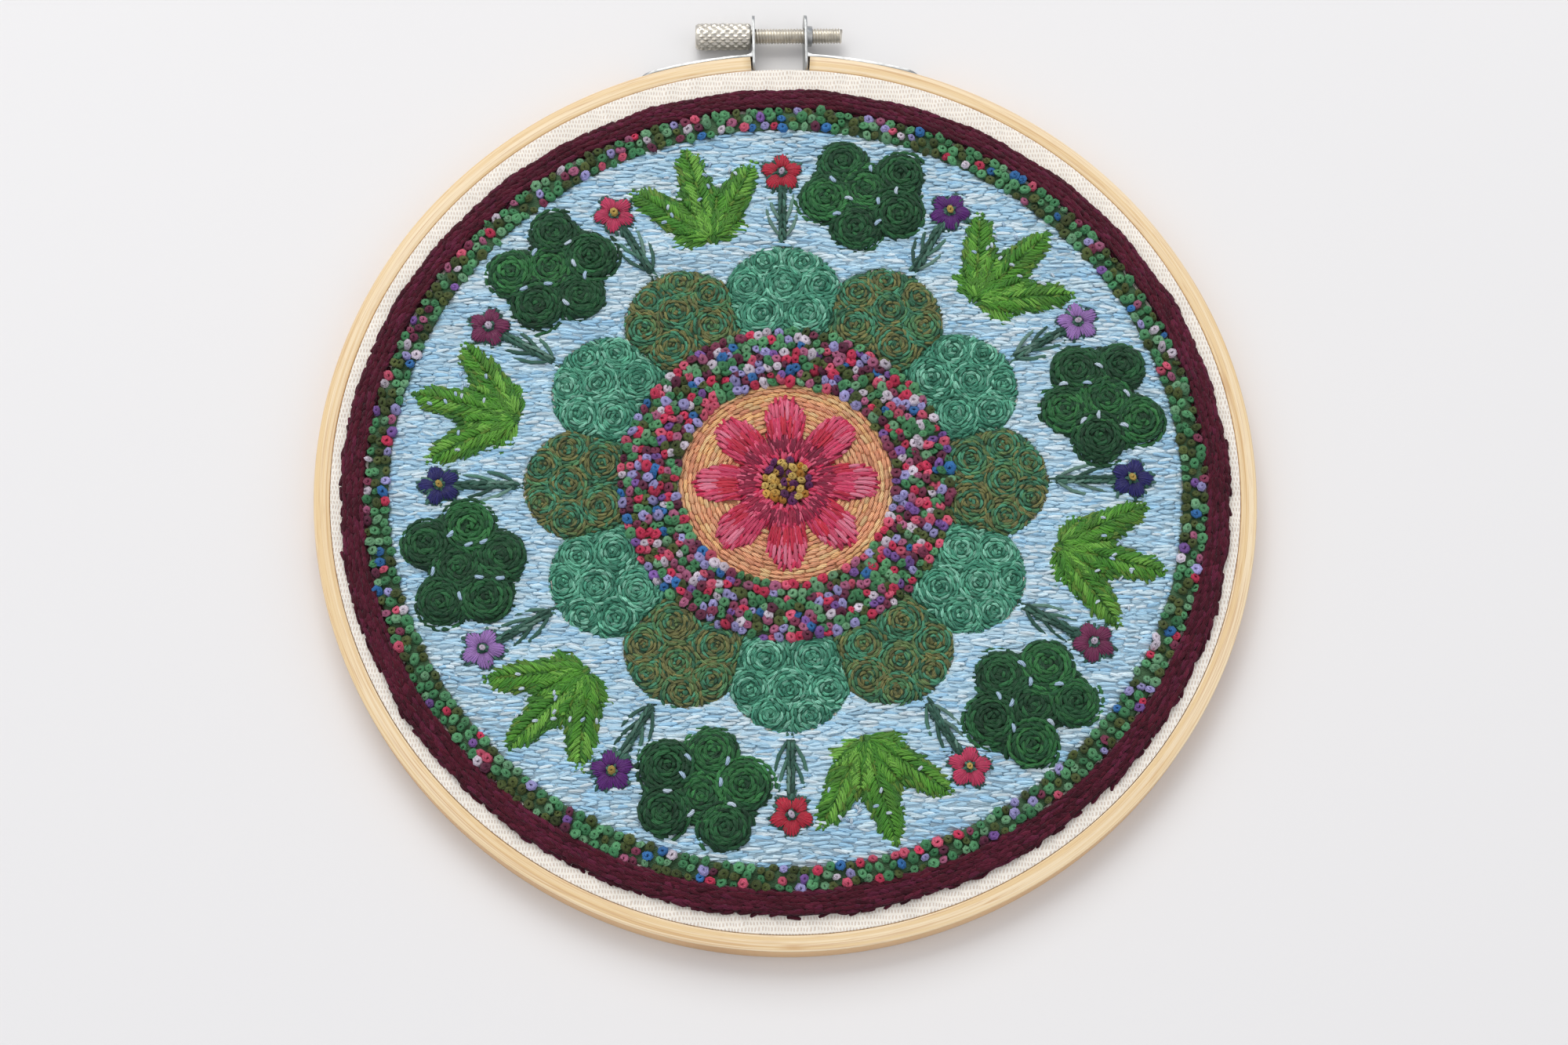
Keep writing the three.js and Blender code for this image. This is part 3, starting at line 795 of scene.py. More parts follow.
@dataclass(frozen=True)
class Plan:
    """Where the stitched design lies on the cloth, and the sizes of its rings."""

    centre_y: float = -6.75
    squash: float = 0.976
    sectors: int = 12
    clusters: int = 6
    scallop_in: float = 37.0
    scallop_shoulder: float = 50.0
    scallop_bulge: float = 8.0
    ground_out: float = 88.2
    rosette_rows: tuple[tuple[float, int, float], ...] = ((41.3, 2, 10.4), (48.6, 3, 8.5), (54.4, 2, 8.8))
    rosette_r: float = 4.7
    whorls: Table = (
        (0.0, 65.0, 6.2),
        (-8.6, 70.5, 6.6),
        (8.6, 70.5, 6.6),
        (0.0, 75.0, 6.2),
        (-7.0, 80.6, 6.0),
        (7.0, 80.6, 6.0),
    )
    fern_root: float = 61.5
    fronds: Table = ((-40.0, 23.0), (0.0, 25.5), (40.0, 23.0))
    frond_half: float = 4.2
    flower_reach: float = 77.0
    flower_r: float = 5.0

    def onto(self, points: Array, turn: float = 0.0) -> Array:
        """Places points of the flat design on the cloth.

        Args:
            points: Rows of side and reach in a sector.
            turn: The sector's clockwise turn from the top, in degrees.

        Returns:
            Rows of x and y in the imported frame.
        """
        cos, sin = math.cos(math.radians(turn)), math.sin(math.radians(turn))
        x = points[..., 0] * cos + points[..., 1] * sin
        y = points[..., 1] * cos - points[..., 0] * sin
        return np.stack((x, self.centre_y + self.squash * y), axis=-1)

    def whorl_turns(self) -> list[float]:
        """Turns of the whorl clusters."""
        return [15 + 60 * i for i in range(self.clusters)]

    def fern_turns(self) -> list[float]:
        """Turns of the ferns."""
        return [45 + 60 * i for i in range(self.clusters)]

    def flower_turns(self) -> list[float]:
        """Turns of the small flowers and of the scallops."""
        return [30 * i for i in range(self.sectors)]

    def scallop_reach(self, angle: Array) -> Array:
        """Outer reach of the scallops.

        Args:
            angle: Angle from the nearest scallop's middle, in degrees.

        Returns:
            The reach.
        """
        share = np.clip(np.abs(angle) / 15, 0, 1)
        return self.scallop_shoulder + self.scallop_bulge * np.cos(share * math.pi / 2) ** 0.7

    def rosettes(self) -> list[tuple[float, float]]:
        """Side and reach of the rosettes in one scallop."""
        return [
            ((i - (count - 1) / 2) * pitch, reach)
            for reach, count, pitch in self.rosette_rows
            for i in range(count)
        ]

    def frond_width(self, along: Array) -> Array:
        """Half width of a frond at a share of its length."""
        inside = np.clip(along, 0, 1)
        return self.frond_half * np.sqrt(np.maximum(0, np.sin(math.pi * inside**0.8)))

    def under_motif(self, points: Array, inset: float) -> Array:
        """Says which points lie well under a motif.

        Args:
            points: Rows of x and y in the flat design, before it is placed.
            inset: How far inside the motif's edge a point has to be.

        Returns:
            True for each point that is covered.
        """
        covered = np.zeros(len(points), bool)
        for turn in self.whorl_turns():
            side, reach = sector(points, turn)
            for at_side, at_reach, radius in self.whorls:
                covered |= np.hypot(side - at_side, reach - at_reach) < radius - inset
        for turn in self.fern_turns():
            side, reach = sector(points, turn)
            for lean, length in self.fronds:
                cos, sin = math.cos(math.radians(lean)), math.sin(math.radians(lean))
                along = (side * sin + (reach - self.fern_root) * cos) / length
                aside = np.abs(side * cos - (reach - self.fern_root) * sin)
                covered |= (along > 0.05) & (along < 0.92) & (aside < self.frond_width(along) - inset)
        for turn in self.flower_turns():
            side, reach = sector(points, turn)
            covered |= np.hypot(side, reach - self.flower_reach) < self.flower_r - 1 - inset
        return covered


def sector(points: Array, turn: float) -> tuple[Array, Array]:
    """Gives side and reach in a sector of points of the flat design."""
    cos, sin = math.cos(math.radians(turn)), math.sin(math.radians(turn))
    return points[:, 0] * cos - points[:, 1] * sin, points[:, 0] * sin + points[:, 1] * cos


PLAN = Plan()


class Bed:
    """The padding under the stitches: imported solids, set lower."""

    def __init__(self, names: Sequence[str], low: float, share: float, inset: float = 1.0) -> None:
        """Reads the solids.

        Args:
            names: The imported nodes.
            low: Height of the padding's underside.
            share: The share of a solid's height that it keeps.
            inset: The share of its width that it keeps.
        """
        self.low = low
        points, self.faces = [], []
        count = 0
        for name in names:
            shape = packed(name)
            shape.verts.ensure_lookup_table()
            co = np.array([vert.co[:] for vert in shape.verts]) / MM
            co[:, 2] = low + (co[:, 2] - co[:, 2].min()) * share
            middle = (co[:, :2].max(axis=0) + co[:, :2].min(axis=0)) / 2
            co[:, :2] = middle + (co[:, :2] - middle) * inset
            points.append(co)
            self.faces += [[vert.index + count for vert in face.verts] for face in shape.faces]
            count += len(co)
            shape.free()
        self.points = np.concatenate(points)
        self.tree = BVHTree.FromPolygons(self.points.tolist(), self.faces)

    def height(self, places: Array) -> Array:
        """Gives the padding's height under places on the cloth.

        Args:
            places: Rows of x and y.

        Returns:
            The heights, and the underside's where nothing is.
        """
        down = Vector((0, 0, -1))
        heights = np.empty(len(places))
        for index, (x, y) in enumerate(places):
            hit = self.tree.ray_cast(Vector((x, y, 50)), down)[0]
            heights[index] = self.low if hit is None else hit.z
        return heights


class Needle:
    """Sews stitches and knots onto a bed."""

    slim = stitch_template(around=5, along=4)
    hair = stitch_template(around=3, along=4)
    flat = stitch_template(around=3, along=3)
    coil = knot_template()
    cell = 0.42
    knot_sizes = (0.84, 1.18)
    knot_ovals = (0.70, 1.0)
    knot_tilt = 0.34

    def __init__(self, bed: Bed | BackOfCloth, seed: int, padding: str = "") -> None:
        """Starts a piece of work on a bed.

        Args:
            bed: What the stitches lie on.
            seed: Seed of all that is uneven.
            padding: Colour in which the bed itself is added, if it is.
        """
        self.bed = bed
        self.rng = np.random.default_rng(seed)
        self.work = Sewing()
        self.paths: list[Array] = []
        if padding:
            self.work.add_solid(bed.points, bed.faces, linear(padding))

    def dyed(self, colours: Array, count: int, run: float = 3.0, vary: float = 0.10) -> Array:
        """Picks a thread colour for each stitch, in short runs.

        Args:
            colours: The palette.
            count: Number of stitches.
            run: Mean length of a run of one colour.
            vary: Spread of the brightness.

        Returns:
            A row of linear light for each stitch.
        """
        change = self.rng.random(count) < 1 / run
        picks = self.rng.integers(0, len(colours), count)
        last = np.maximum.accumulate(np.where(change | (np.arange(count) == 0), np.arange(count), 0))
        return colours[picks[last]] * (1 + self.rng.normal(0, vary, (count, 1)))

    def sew(
        self,
        starts: Array,
        ends: Array,
        width: float | Array,
        height: float | Array,
        near: Array,
        far: Array | None = None,
        bow: float | Array = 0.0,
        lift: float | Array = 0.25,
        dive: float = 0.35,
        shape: Template | None = None,
    ) -> None:
        """Sews one stitch from each start to each end.

        Args:
            starts: Rows of x and y on the cloth.
            ends: The same for the other ends.
            width: Width of the stitches.
            height: Thickness of the stitches.
            near: Colour at the start.
            far: Colour at the end, if it changes.
            bow: How far the middle swings to the left of the stitch.
            lift: Height of the middle over the bed, as a share of the thickness.
            dive: How far the ends sink, the same way.
            shape: The stitch's own shape, if it isn't the slim one.
        """
        count = len(starts)
        if count == 0:
            return
        width, height, bow, lift = (
            np.broadcast_to(np.asarray(value, float), (count,)) for value in (width, height, bow, lift)
        )
        far = near if far is None else far
        middle = (starts + ends) / 2
        run = ends - starts
        length = np.maximum(np.hypot(run[:, 0], run[:, 1]), 1e-6)
        normal = np.stack((-run[:, 1], run[:, 0]), axis=1) / length[:, None]
        middle_z = self.bed.height(middle + normal * bow[:, None]) + lift * height
        start_z = self.bed.height(starts) + (lift - dive) * height
        end_z = self.bed.height(ends) + (lift - dive) * height
        floor = middle_z - 1.1 * height
        start_z, end_z = np.maximum(start_z, floor), np.maximum(end_z, floor)
        template = shape or self.slim
        local = template.points
        t = local[None, :, 0]
        arch = 1 - (2 * t) ** 2
        self.trace(middle, run, normal, width, bow)
        aside = local[None, :, 1] * width[:, None] + bow[:, None] * arch
        cant = self.rng.normal(0, 0.22, (count, 1)) * local[None, :, 1] * width[:, None]
        x = middle[:, None, 0] + run[:, None, 0] * t + normal[:, None, 0] * aside
        y = middle[:, None, 1] + run[:, None, 1] * t + normal[:, None, 1] * aside
        ends_z = start_z[:, None] * (0.5 - t) + end_z[:, None] * (0.5 + t)
        crown = middle_z - (start_z + end_z) / 2
        z = ends_z + crown[:, None] * arch + local[None, :, 2] * height[:, None] + cant
        share = (t + 0.5)[..., None]
        dyes = near[:, None, :] * (1 - share) + far[:, None, :] * share
        offset = self.rng.uniform(0, 40, (count, 2))
        self.work.add(
            template, np.stack((x, y, z), axis=-1), dyes, np.stack((length, width), axis=1), offset
        )

    def trace(self, middle: Array, run: Array, normal: Array, width: Array, bow: Array) -> None:
        """Remembers the places that stitches cover.

        Args:
            middle: Middles of the stitches.
            run: Their whole length and direction.
            normal: Unit rows across them.
            width: Their widths.
            bow: How far their middles swing.
        """
        for share in (-0.42, -0.28, -0.14, 0.0, 0.14, 0.28, 0.42):
            swing = (bow * (1 - (2 * share) ** 2))[:, None]
            for across in (-0.3, 0.3):
                self.paths.append(middle + run * share + normal * (swing + across * width[:, None]))

    def cover(
        self,
        heading: Callable[[Array], Array],
        colours: Array,
        length: float = 2.0,
        width: float = 0.85,
        height: float = 0.6,
        over: float = 0.3,
        lift: float = 0.1,
    ) -> None:
        """Sews short stitches wherever the bed still shows.

        Args:
            heading: Gives unit rows of direction for rows of x and y.
            colours: The palette.
            length: Length of a stitch.
            width: Its width.
            height: Its thickness.
            over: How far past the bed's edge the stitches go.
            lift: Height over the bed.
        """
        cell, margin = self.cell, 1.5
        low = self.bed.points[:, :2].min(axis=0) - margin
        size = np.ceil((self.bed.points[:, :2].max(axis=0) + margin - low) / cell).astype(int)
        taken = np.zeros(size, bool)

        def mark(places: Array) -> None:
            """Marks the cells that places fall in."""
            cells = np.clip(((places - low) / cell).astype(int), 0, size - 1)
            taken[cells[:, 0], cells[:, 1]] = True

        for path in self.paths:
            mark(path)
        open_cells = np.argwhere(~taken)
        centres = low + (open_cells + 0.5) * cell
        bare = np.zeros(len(centres), bool)
        for shift in ((0.0, 0.0), (over, 0.0), (-over, 0.0), (0.0, over), (0.0, -over)):
            bare |= self.bed.height(centres + shift) > self.bed.low + 0.02
        open_cells, centres = open_cells[bare], centres[bare]
        order = self.rng.permutation(len(centres))
        ahead = heading(centres)
        reach = np.array((-0.42, -0.21, 0.0, 0.21, 0.42))[:, None] * length
        chosen = []
        for index in order:
            if not taken[tuple(open_cells[index])]:
                chosen.append(index)
                along = centres[index] + ahead[index] * reach
                beside = np.array((-ahead[index][1], ahead[index][0])) * width * 0.3
                mark(np.concatenate((along - beside, along, along + beside)))
        middles = centres[chosen] + self.rng.normal(0, 0.08, (len(chosen), 2))
        turn = self.rng.normal(0, 0.22, len(chosen))
        ahead = ahead[chosen] * np.cos(turn)[
            :, None
        ] + ahead[chosen][:, ::-1] * (-1, 1) * np.sin(turn)[:, None]
        half = ahead * (length * self.rng.uniform(0.42, 0.56, (len(chosen), 1)))
        near = self.dyed(colours, len(chosen), 1.5)
        rise = lift + self.rng.uniform(-0.05, 0.15, len(chosen))
        self.sew(middles - half, middles + half, width, height, near, near * 1.06, 0.0, rise)

    def chain(
        self,
        middles: Array,
        heading: Array,
        length: float | Array,
        spread: float,
        width: float,
        height: float,
        colours: Array,
        bow: float | Array = 0.0,
        lift: float = 0.25,
        vary: float = 0.12,
    ) -> None:
        """Sews chain links: two slanted stitches that close to a point.

        Args:
            middles: Rows of x and y.
            heading: Direction of the chain at each link, as unit rows.
            length: Length of a link.
            spread: Half distance between the two sides.
            width: Width of each side.
            height: Thickness.
            colours: The palette.
            bow: Swing of the whole link to the left.
            lift: Height over the bed.
            vary: Spread of the brightness.
        """
        count = len(middles)
        normal = np.stack((-heading[:, 1], heading[:, 0]), axis=1)
        half = np.broadcast_to(np.asarray(length, float), (count,))[:, None] / 2
        for side in Side:
            dyes = self.dyed(colours, count, 2.2, vary)
            sway = self.rng.normal(0, 0.09, (count, 2))
            starts = middles - heading * half + normal * side.value * spread * 1.5 + sway
            ends = middles + heading * half + normal * side.value * spread * 0.3 - sway
            near = dyes * (1 + self.rng.normal(0, 0.08, (count, 1)))
            far = dyes * (1 + self.rng.normal(0, 0.08, (count, 1)))
            swing = np.broadcast_to(np.asarray(bow, float), (count,)) + side.value * 0.12
            rise = lift + self.rng.normal(0, 0.07, count)
            self.sew(starts, ends, width, height, near, far, swing, rise)

    def knots(self, middles: Array, size: float, colours: Array, lift: float = 0.3) -> None:
        """Ties French knots.

        Args:
            middles: Rows of x and y.
            size: Mean size, 1 for a knot of 2.6 mm.
            colours: A colour for each knot.
            lift: Height of a knot's middle over the bed.
        """
        count = len(middles)
        local = self.coil.points
        turn = self.rng.uniform(0, FULL_TURN, count)
        scale = size * self.rng.uniform(*self.knot_sizes, count)
        oval = self.rng.uniform(*self.knot_ovals, count)
        hand = self.rng.choice((-1.0, 1.0), count)
        tilt = self.rng.normal(0, self.knot_tilt, (count, 2))
        x = local[None, :, 0] * scale[:, None]
        y = local[None, :, 1] * (scale * oval)[:, None]
        z = local[None, :, 2] * scale[:, None] + x * tilt[:, :1] + y * tilt[:, 1:]
        cos, sin = np.cos(turn)[:, None], np.sin(turn)[:, None]
        base = self.bed.height(middles) + lift * scale
        placed = np.stack(
            (
                middles[:, :1] + x * cos - y * sin, middles[:, 1:] + x * sin + y * cos, base[:, None] + z
            ), axis=-1
        )
        # Painted shade: each knot is darker at its low outer wrap and lighter towards its raised top
        share = np.linspace(0, 1, local.shape[0])[None, :, None]
        dyes = colours[:, None, :] * (0.84 + 0.24 * share + 0.05 * hand[:, None, None])
        self.work.add(
            self.coil,
            placed,
            dyes,
            np.ones((count, 2)) * scale[:, None],
            self.rng.uniform(0, 40, (count, 2)),
        )

    def finish(self, name: str, slot: str, floss: ThreadFinish, replaced: Sequence[str]) -> None:
        """Makes the piece and settles it on the hoop."""
        settle(self.work.build(name), HOOP_BODY, floss.material(), replaced)


def unit(angles: Array) -> Array:
    """Gives unit rows for angles from +X."""
    return np.stack((np.cos(angles), np.sin(angles)), axis=-1)


def spiral(
    centre: tuple[float, float],
    inner: float,
    outer: float,
    pitch: float,
    stride: float,
    hand: int,
    start: float,
) -> tuple[Array, Array, Array]:
    """Walks a spiral from its rim to its middle.

    Args:
        centre: Side and reach of the middle.
        inner: Radius where it ends.
        outer: Radius where it starts.
        pitch: Distance between turns.
        stride: Distance between steps.
        hand: 1 for anticlockwise, -1 for clockwise.
        start: Angle of the first step.

    Returns:
        Places, headings and radii of the steps.
    """
    radius, angle = outer, start
    places, headings, radii = [], [], []
    while radius > inner:
        places.append((centre[0] + radius * math.cos(angle), centre[1] + radius * math.sin(angle)))
        headings.append((-hand * math.sin(angle), hand * math.cos(angle)))
        radii.append(radius)
        step = min(stride, radius * 1.3) / radius
        angle += hand * step
        radius -= pitch * step / FULL_TURN
    return np.array(places), np.array(headings), np.array(radii)


def circling(centres: Array, places: Array) -> Array:
    """Gives unit rows that turn about the nearest of several centres.

    Args:
        centres: Rows of x and y.
        places: Rows of x and y where a direction is wanted.

    Returns:
        A unit row for each place.
    """
    away = places[:, None, :] - centres[None, :, :]
    nearest = np.hypot(away[..., 0], away[..., 1]).argmin(axis=1)
    out = away[np.arange(len(places)), nearest]
    length = np.maximum(np.hypot(out[:, 0], out[:, 1]), 1e-6)[:, None]
    return np.stack((-out[:, 1], out[:, 0]), axis=1) / length


def radiating(centres: Array, places: Array) -> Array:
    """Gives unit rows that point away from the nearest of several centres."""
    around = circling(centres, places)
    return np.stack((around[:, 1], -around[:, 0]), axis=1)


def placed_heading(middles: Array, headings: Array, turn: float) -> tuple[Array, Array]:
    """Carries places and headings from a sector onto the cloth.

    Args:
        middles: Rows of side and reach.
        headings: Unit rows in the sector.
        turn: The sector's turn.

    Returns:
        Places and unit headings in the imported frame.
    """
    at = PLAN.onto(middles, turn)
    ahead = PLAN.onto(middles + headings * 0.1, turn) - at
    return at, ahead / np.hypot(ahead[:, 0], ahead[:, 1])[:, None]


# Wood, cloth and metal


@dataclass
class Hoop:
    """The two bamboo rings."""

    middle_y = -6.0
    outer_r: float = 105.0
    face: float = 3.55
    depth: float = 7.5
    edge: float = 0.26
    gap_left: float = 3.76
    gap_right: float = 3.9
    inner_out: float = 99.85
    inner_in: float = 96.45
    inner_top: float = 6.2
    inner_edge: float = 0.5
    steps: int = 288

    def section(self, inner: float, outer: float, top: float, edge: float, at: float) -> Shape:
        """Draws a ring's rounded cross-section as one face.

        Args:
            inner: Inner radius.
            outer: Outer radius.
            top: Height of the upper face.
            edge: Radius of the rounded edges.
            at: Angle of the section from the top of the hoop, clockwise, in degrees.

        Returns:
            The bmesh with its face.
        """
        shape = bmesh.new()
        bmesh.ops.create_grid(shape, x_segments=1, y_segments=1, size=0.5)
        width = outer - inner
        for vert in shape.verts:
            vert.co = Vector(((inner + outer) / 2 + vert.co.x * width, 0, top / 2 + vert.co.y * top))
        bmesh.ops.bevel(
            shape, geom=shape.verts[:], offset=edge, segments=3, profile=0.5, affect="VERTICES", material=-1
        )
        turn = Matrix.Rotation(math.pi / 2 - math.radians(at), 4, "Z")
        bmesh.ops.transform(shape, matrix=turn, verts=shape.verts)
        return shape

    def build_outer(self) -> bpy.types.Object:
        """Bends the split outer ring, with its ends left open for the brackets."""
        shape = self.section(self.outer_r - self.face, self.outer_r, self.depth, self.edge, self.gap_right)
        sweep = math.radians(360 - self.gap_left - self.gap_right)
        bmesh.ops.spin(
            shape,
            geom=shape.faces[:],
            cent=(0, 0, 0),
            axis=(0, 0, -1),
            angle=sweep,
            steps=self.steps,
            use_duplicate=False,
        )
        return spun_piece("split_ring", shape, (0, self.middle_y, 0))

    def build_inner(self) -> bpy.types.Object:
        """Turns the closed inner ring."""
        shape = self.section(self.inner_in, self.inner_out, self.inner_top, self.inner_edge, 0)
        bmesh.ops.delete(shape, geom=shape.faces[:], context="FACES_ONLY")
        turned(shape, (0, 0, 1), self.steps, 1e-4)
        return spun_piece("pressed_ring", shape, (0, self.middle_y, 0))

    def dress(self) -> None:
        """Builds both rings and finishes them."""
        settle(
            self.build_outer(), HOOP_BODY, BambooFinish("outer_bamboo").material(), ["outer_ring"]
        )
        settle(
            self.build_inner(),
            HOOP_BODY,
            BambooFinish("inner_bamboo", seed=7.0).material(),
            ["inner_ring"],
        )


@dataclass
class TautCloth:
    """The cotton stretched over the inner ring, its edge turned down between the rings."""

    skirt_out: float = 101.34
    thickness: float = 1.0
    round_over: float = 0.22
    skirt_end: float = 1.0
    steps: int = 240
    cut: float = 0.2155
    flat_area: float = 0.0363

    def outline(self) -> list[tuple[float, float]]:
        """Gives the section's radius and height, from the face's middle round to the back's."""
        rim = self.skirt_out - self.round_over
        face = [(r, CLOTH_TOP) for r in (0.0, 40.0, 70.0, 86.0, 92.0, 95.0, 97.0, 98.5, 99.6, 100.5, rim)]
        turned = [
            (rim + self.round_over * math.sin(a), CLOTH_TOP - self.round_over * (1 - math.cos(a)))
            for a in (math.pi / 6, math.pi / 3, math.pi / 2)
        ]
        inside = self.skirt_out - self.thickness
        under = [(self.skirt_out, self.skirt_end), (inside, self.skirt_end), (inside, CLOTH_BACK)]
        return face + turned + under + [(90.0, CLOTH_BACK), (50.0, CLOTH_BACK), (0.0, CLOTH_BACK)]

    def build(self) -> bpy.types.Object:
        """Turns the section, and lets the cloth pucker a little where it meets the ring."""
        shape = profile([(r, 0, z) for r, z in self.outline()])
        turned(shape, (0, 0, 1), self.steps, 1e-3)
        for vert in shape.verts:
            reach = math.hypot(vert.co.x, vert.co.y)
            if 97 < reach < 101:
                angle = math.atan2(vert.co.y, vert.co.x)
                vert.co.z += 0.07 * math.sin(23 * angle) + 0.05 * math.sin(41 * angle + 1)
        return spun_piece("taut_cotton", shape, (0, Hoop.middle_y, 0))

    def dress(self) -> None:
        obj = self.build()
        settle(obj, HOOP_BODY, CottonFinish().material(), ["cloth"])


@dataclass
class Brackets:
    """The two folded nickel plates that hold the screw."""

    crease: float = 0.14

    def dress(self) -> None:
        """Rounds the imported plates' edges and plates them."""
        material = NickelFinish(
            "rolled_nickel", colour="b9bbba", roughness=0.4, stretch=(0.4, 0.4, 2.5)
        ).material()
        for name, label in (("bracket_left", "left_plate"), ("bracket_right", "right_plate")):
            shape = packed(name)
            bmesh.ops.dissolve_limit(
                shape,
                angle_limit=math.radians(1),
                use_dissolve_boundaries=False,
                verts=shape.verts,
                edges=shape.edges,
            )
            obj = from_shape(label, shape, 1.0)
            bevel = obj.modifiers.new("worn_edges", "BEVEL")
            bevel.width = self.crease * MM
            bevel.segments = 2
            bevel.limit_method = "ANGLE"
            bevel.angle_limit = math.radians(35)
            bevel.harden_normals = True
            settle(obj, HOOP_BODY, material, [name])


@dataclass
class ThumbScrew:
    """The knurled thumb screw."""

    centre_y: float = 105.9
    centre_z: float = 3.75
    knob_left: float = -19.75
    knob_right: float = -6.65
    knob_r: float = 3.22
    knob_core: float = 2.86
    chamfer: float = 0.55
    around: int = 14
    samples: int = 6
    knurl_pitch: float = 2.0
    crest_r: float = 1.86
    root_r: float = 1.56
    thread_pitch: float = 0.7
    tip: float = 15.4
    thread_steps: int = 16

    def knob(self) -> Shape:
        """Turns the knob and presses the diamond knurl into it."""
        step = self.knurl_pitch / self.samples
        start, end = self.knob_left + self.chamfer, self.knob_right - self.chamfer * 0.7
        rows = int(round((end - start) / step))
        left, right, core = self.knob_left, self.knob_right, self.knob_core
        outline = [(left, 0.0), (left, core - 0.5), (left + 0.12, core - 0.12)]
        outline += [(start + (end - start) * i / rows, self.knob_r) for i in range(rows + 1)]
        outline += [(right - 0.1, core - 0.1), (right, core - 0.45), (right, 0.0)]
        shape = profile([(x, r, 0) for x, r in outline])
        turned(shape, (1, 0, 0), self.around * self.samples, 1e-4)
        for vert in shape.verts:
            radius = math.hypot(vert.co.y, vert.co.z)
            if radius > self.knob_r - 0.01:
                about = math.atan2(vert.co.z, vert.co.y) / FULL_TURN * self.around
                along = (vert.co.x - start) / self.knurl_pitch
                first, second = about + along, about - along
                groove = max(abs(2 * (first - round(first))), abs(2 * (second - round(second))))
                depth = min(1.0, groove * 1.1) * (self.knob_r - self.knob_core)
                fade = min(1.0, (vert.co.x - start) / 0.4 + 0.25, (end - vert.co.x) / 0.4 + 0.25)
                reach = (self.knob_r - depth) * fade + (self.knob_core + 0.05) * (1 - fade)
                vert.co.y *= reach / radius
                vert.co.z *= reach / radius
        return shape

    def shank(self) -> Shape:
        """Winds the thread as one helical sweep and closes its tip."""
        pitch, root, crest = self.thread_pitch, self.root_r, self.crest_r
        tooth = [
            (0.0, root),
            (0.14, root),
            (0.33, crest - 0.02),
            (0.41, crest),
            (0.60, root + 0.02),
            (pitch, root),
        ]
        shape = profile([(self.knob_right - pitch + x, r, 0) for x, r in tooth])
        turns = int((self.tip - self.knob_right - 0.1) / pitch)
        steps = turns * self.thread_steps
        bmesh.ops.spin(
            shape,
            geom=shape.verts[:] + shape.edges[:],
            cent=(0, 0, 0),
            axis=(1, 0, 0),
            dvec=(pitch / self.thread_steps, 0, 0),
            angle=FULL_TURN * turns,
            steps=steps,
            use_duplicate=False,
        )
        bmesh.ops.remove_doubles(shape, verts=shape.verts, dist=2e-3)
        for vert in shape.verts:
            radius = math.hypot(vert.co.y, vert.co.z)
            limit = self.crest_r - max(0.0, vert.co.x - (self.tip - 0.75)) * 0.7
            if radius > limit:
                vert.co.y *= limit / radius
                vert.co.z *= limit / radius
            vert.co.x = min(vert.co.x, self.tip)
        bmesh.ops.holes_fill(shape, edges=[edge for edge in shape.edges if edge.is_boundary], sides=0)
        return shape

    def dress(self) -> None:
        """Builds the knob and the shank and gives them to the screw's body."""
        plain = NickelFinish("turned_nickel", stretch=(3.0, 0.5, 0.5)).material()
        for name, shape in (("knurled_knob", self.knob()), ("threaded_shank", self.shank())):
            obj = spun_piece(name, shape, (0, self.centre_y, self.centre_z))
            obj.data.set_sharp_from_angle(angle=math.radians(28))
            settle(obj, SCREW_BODY, plain, ["thumb_screw"])


# Needlework


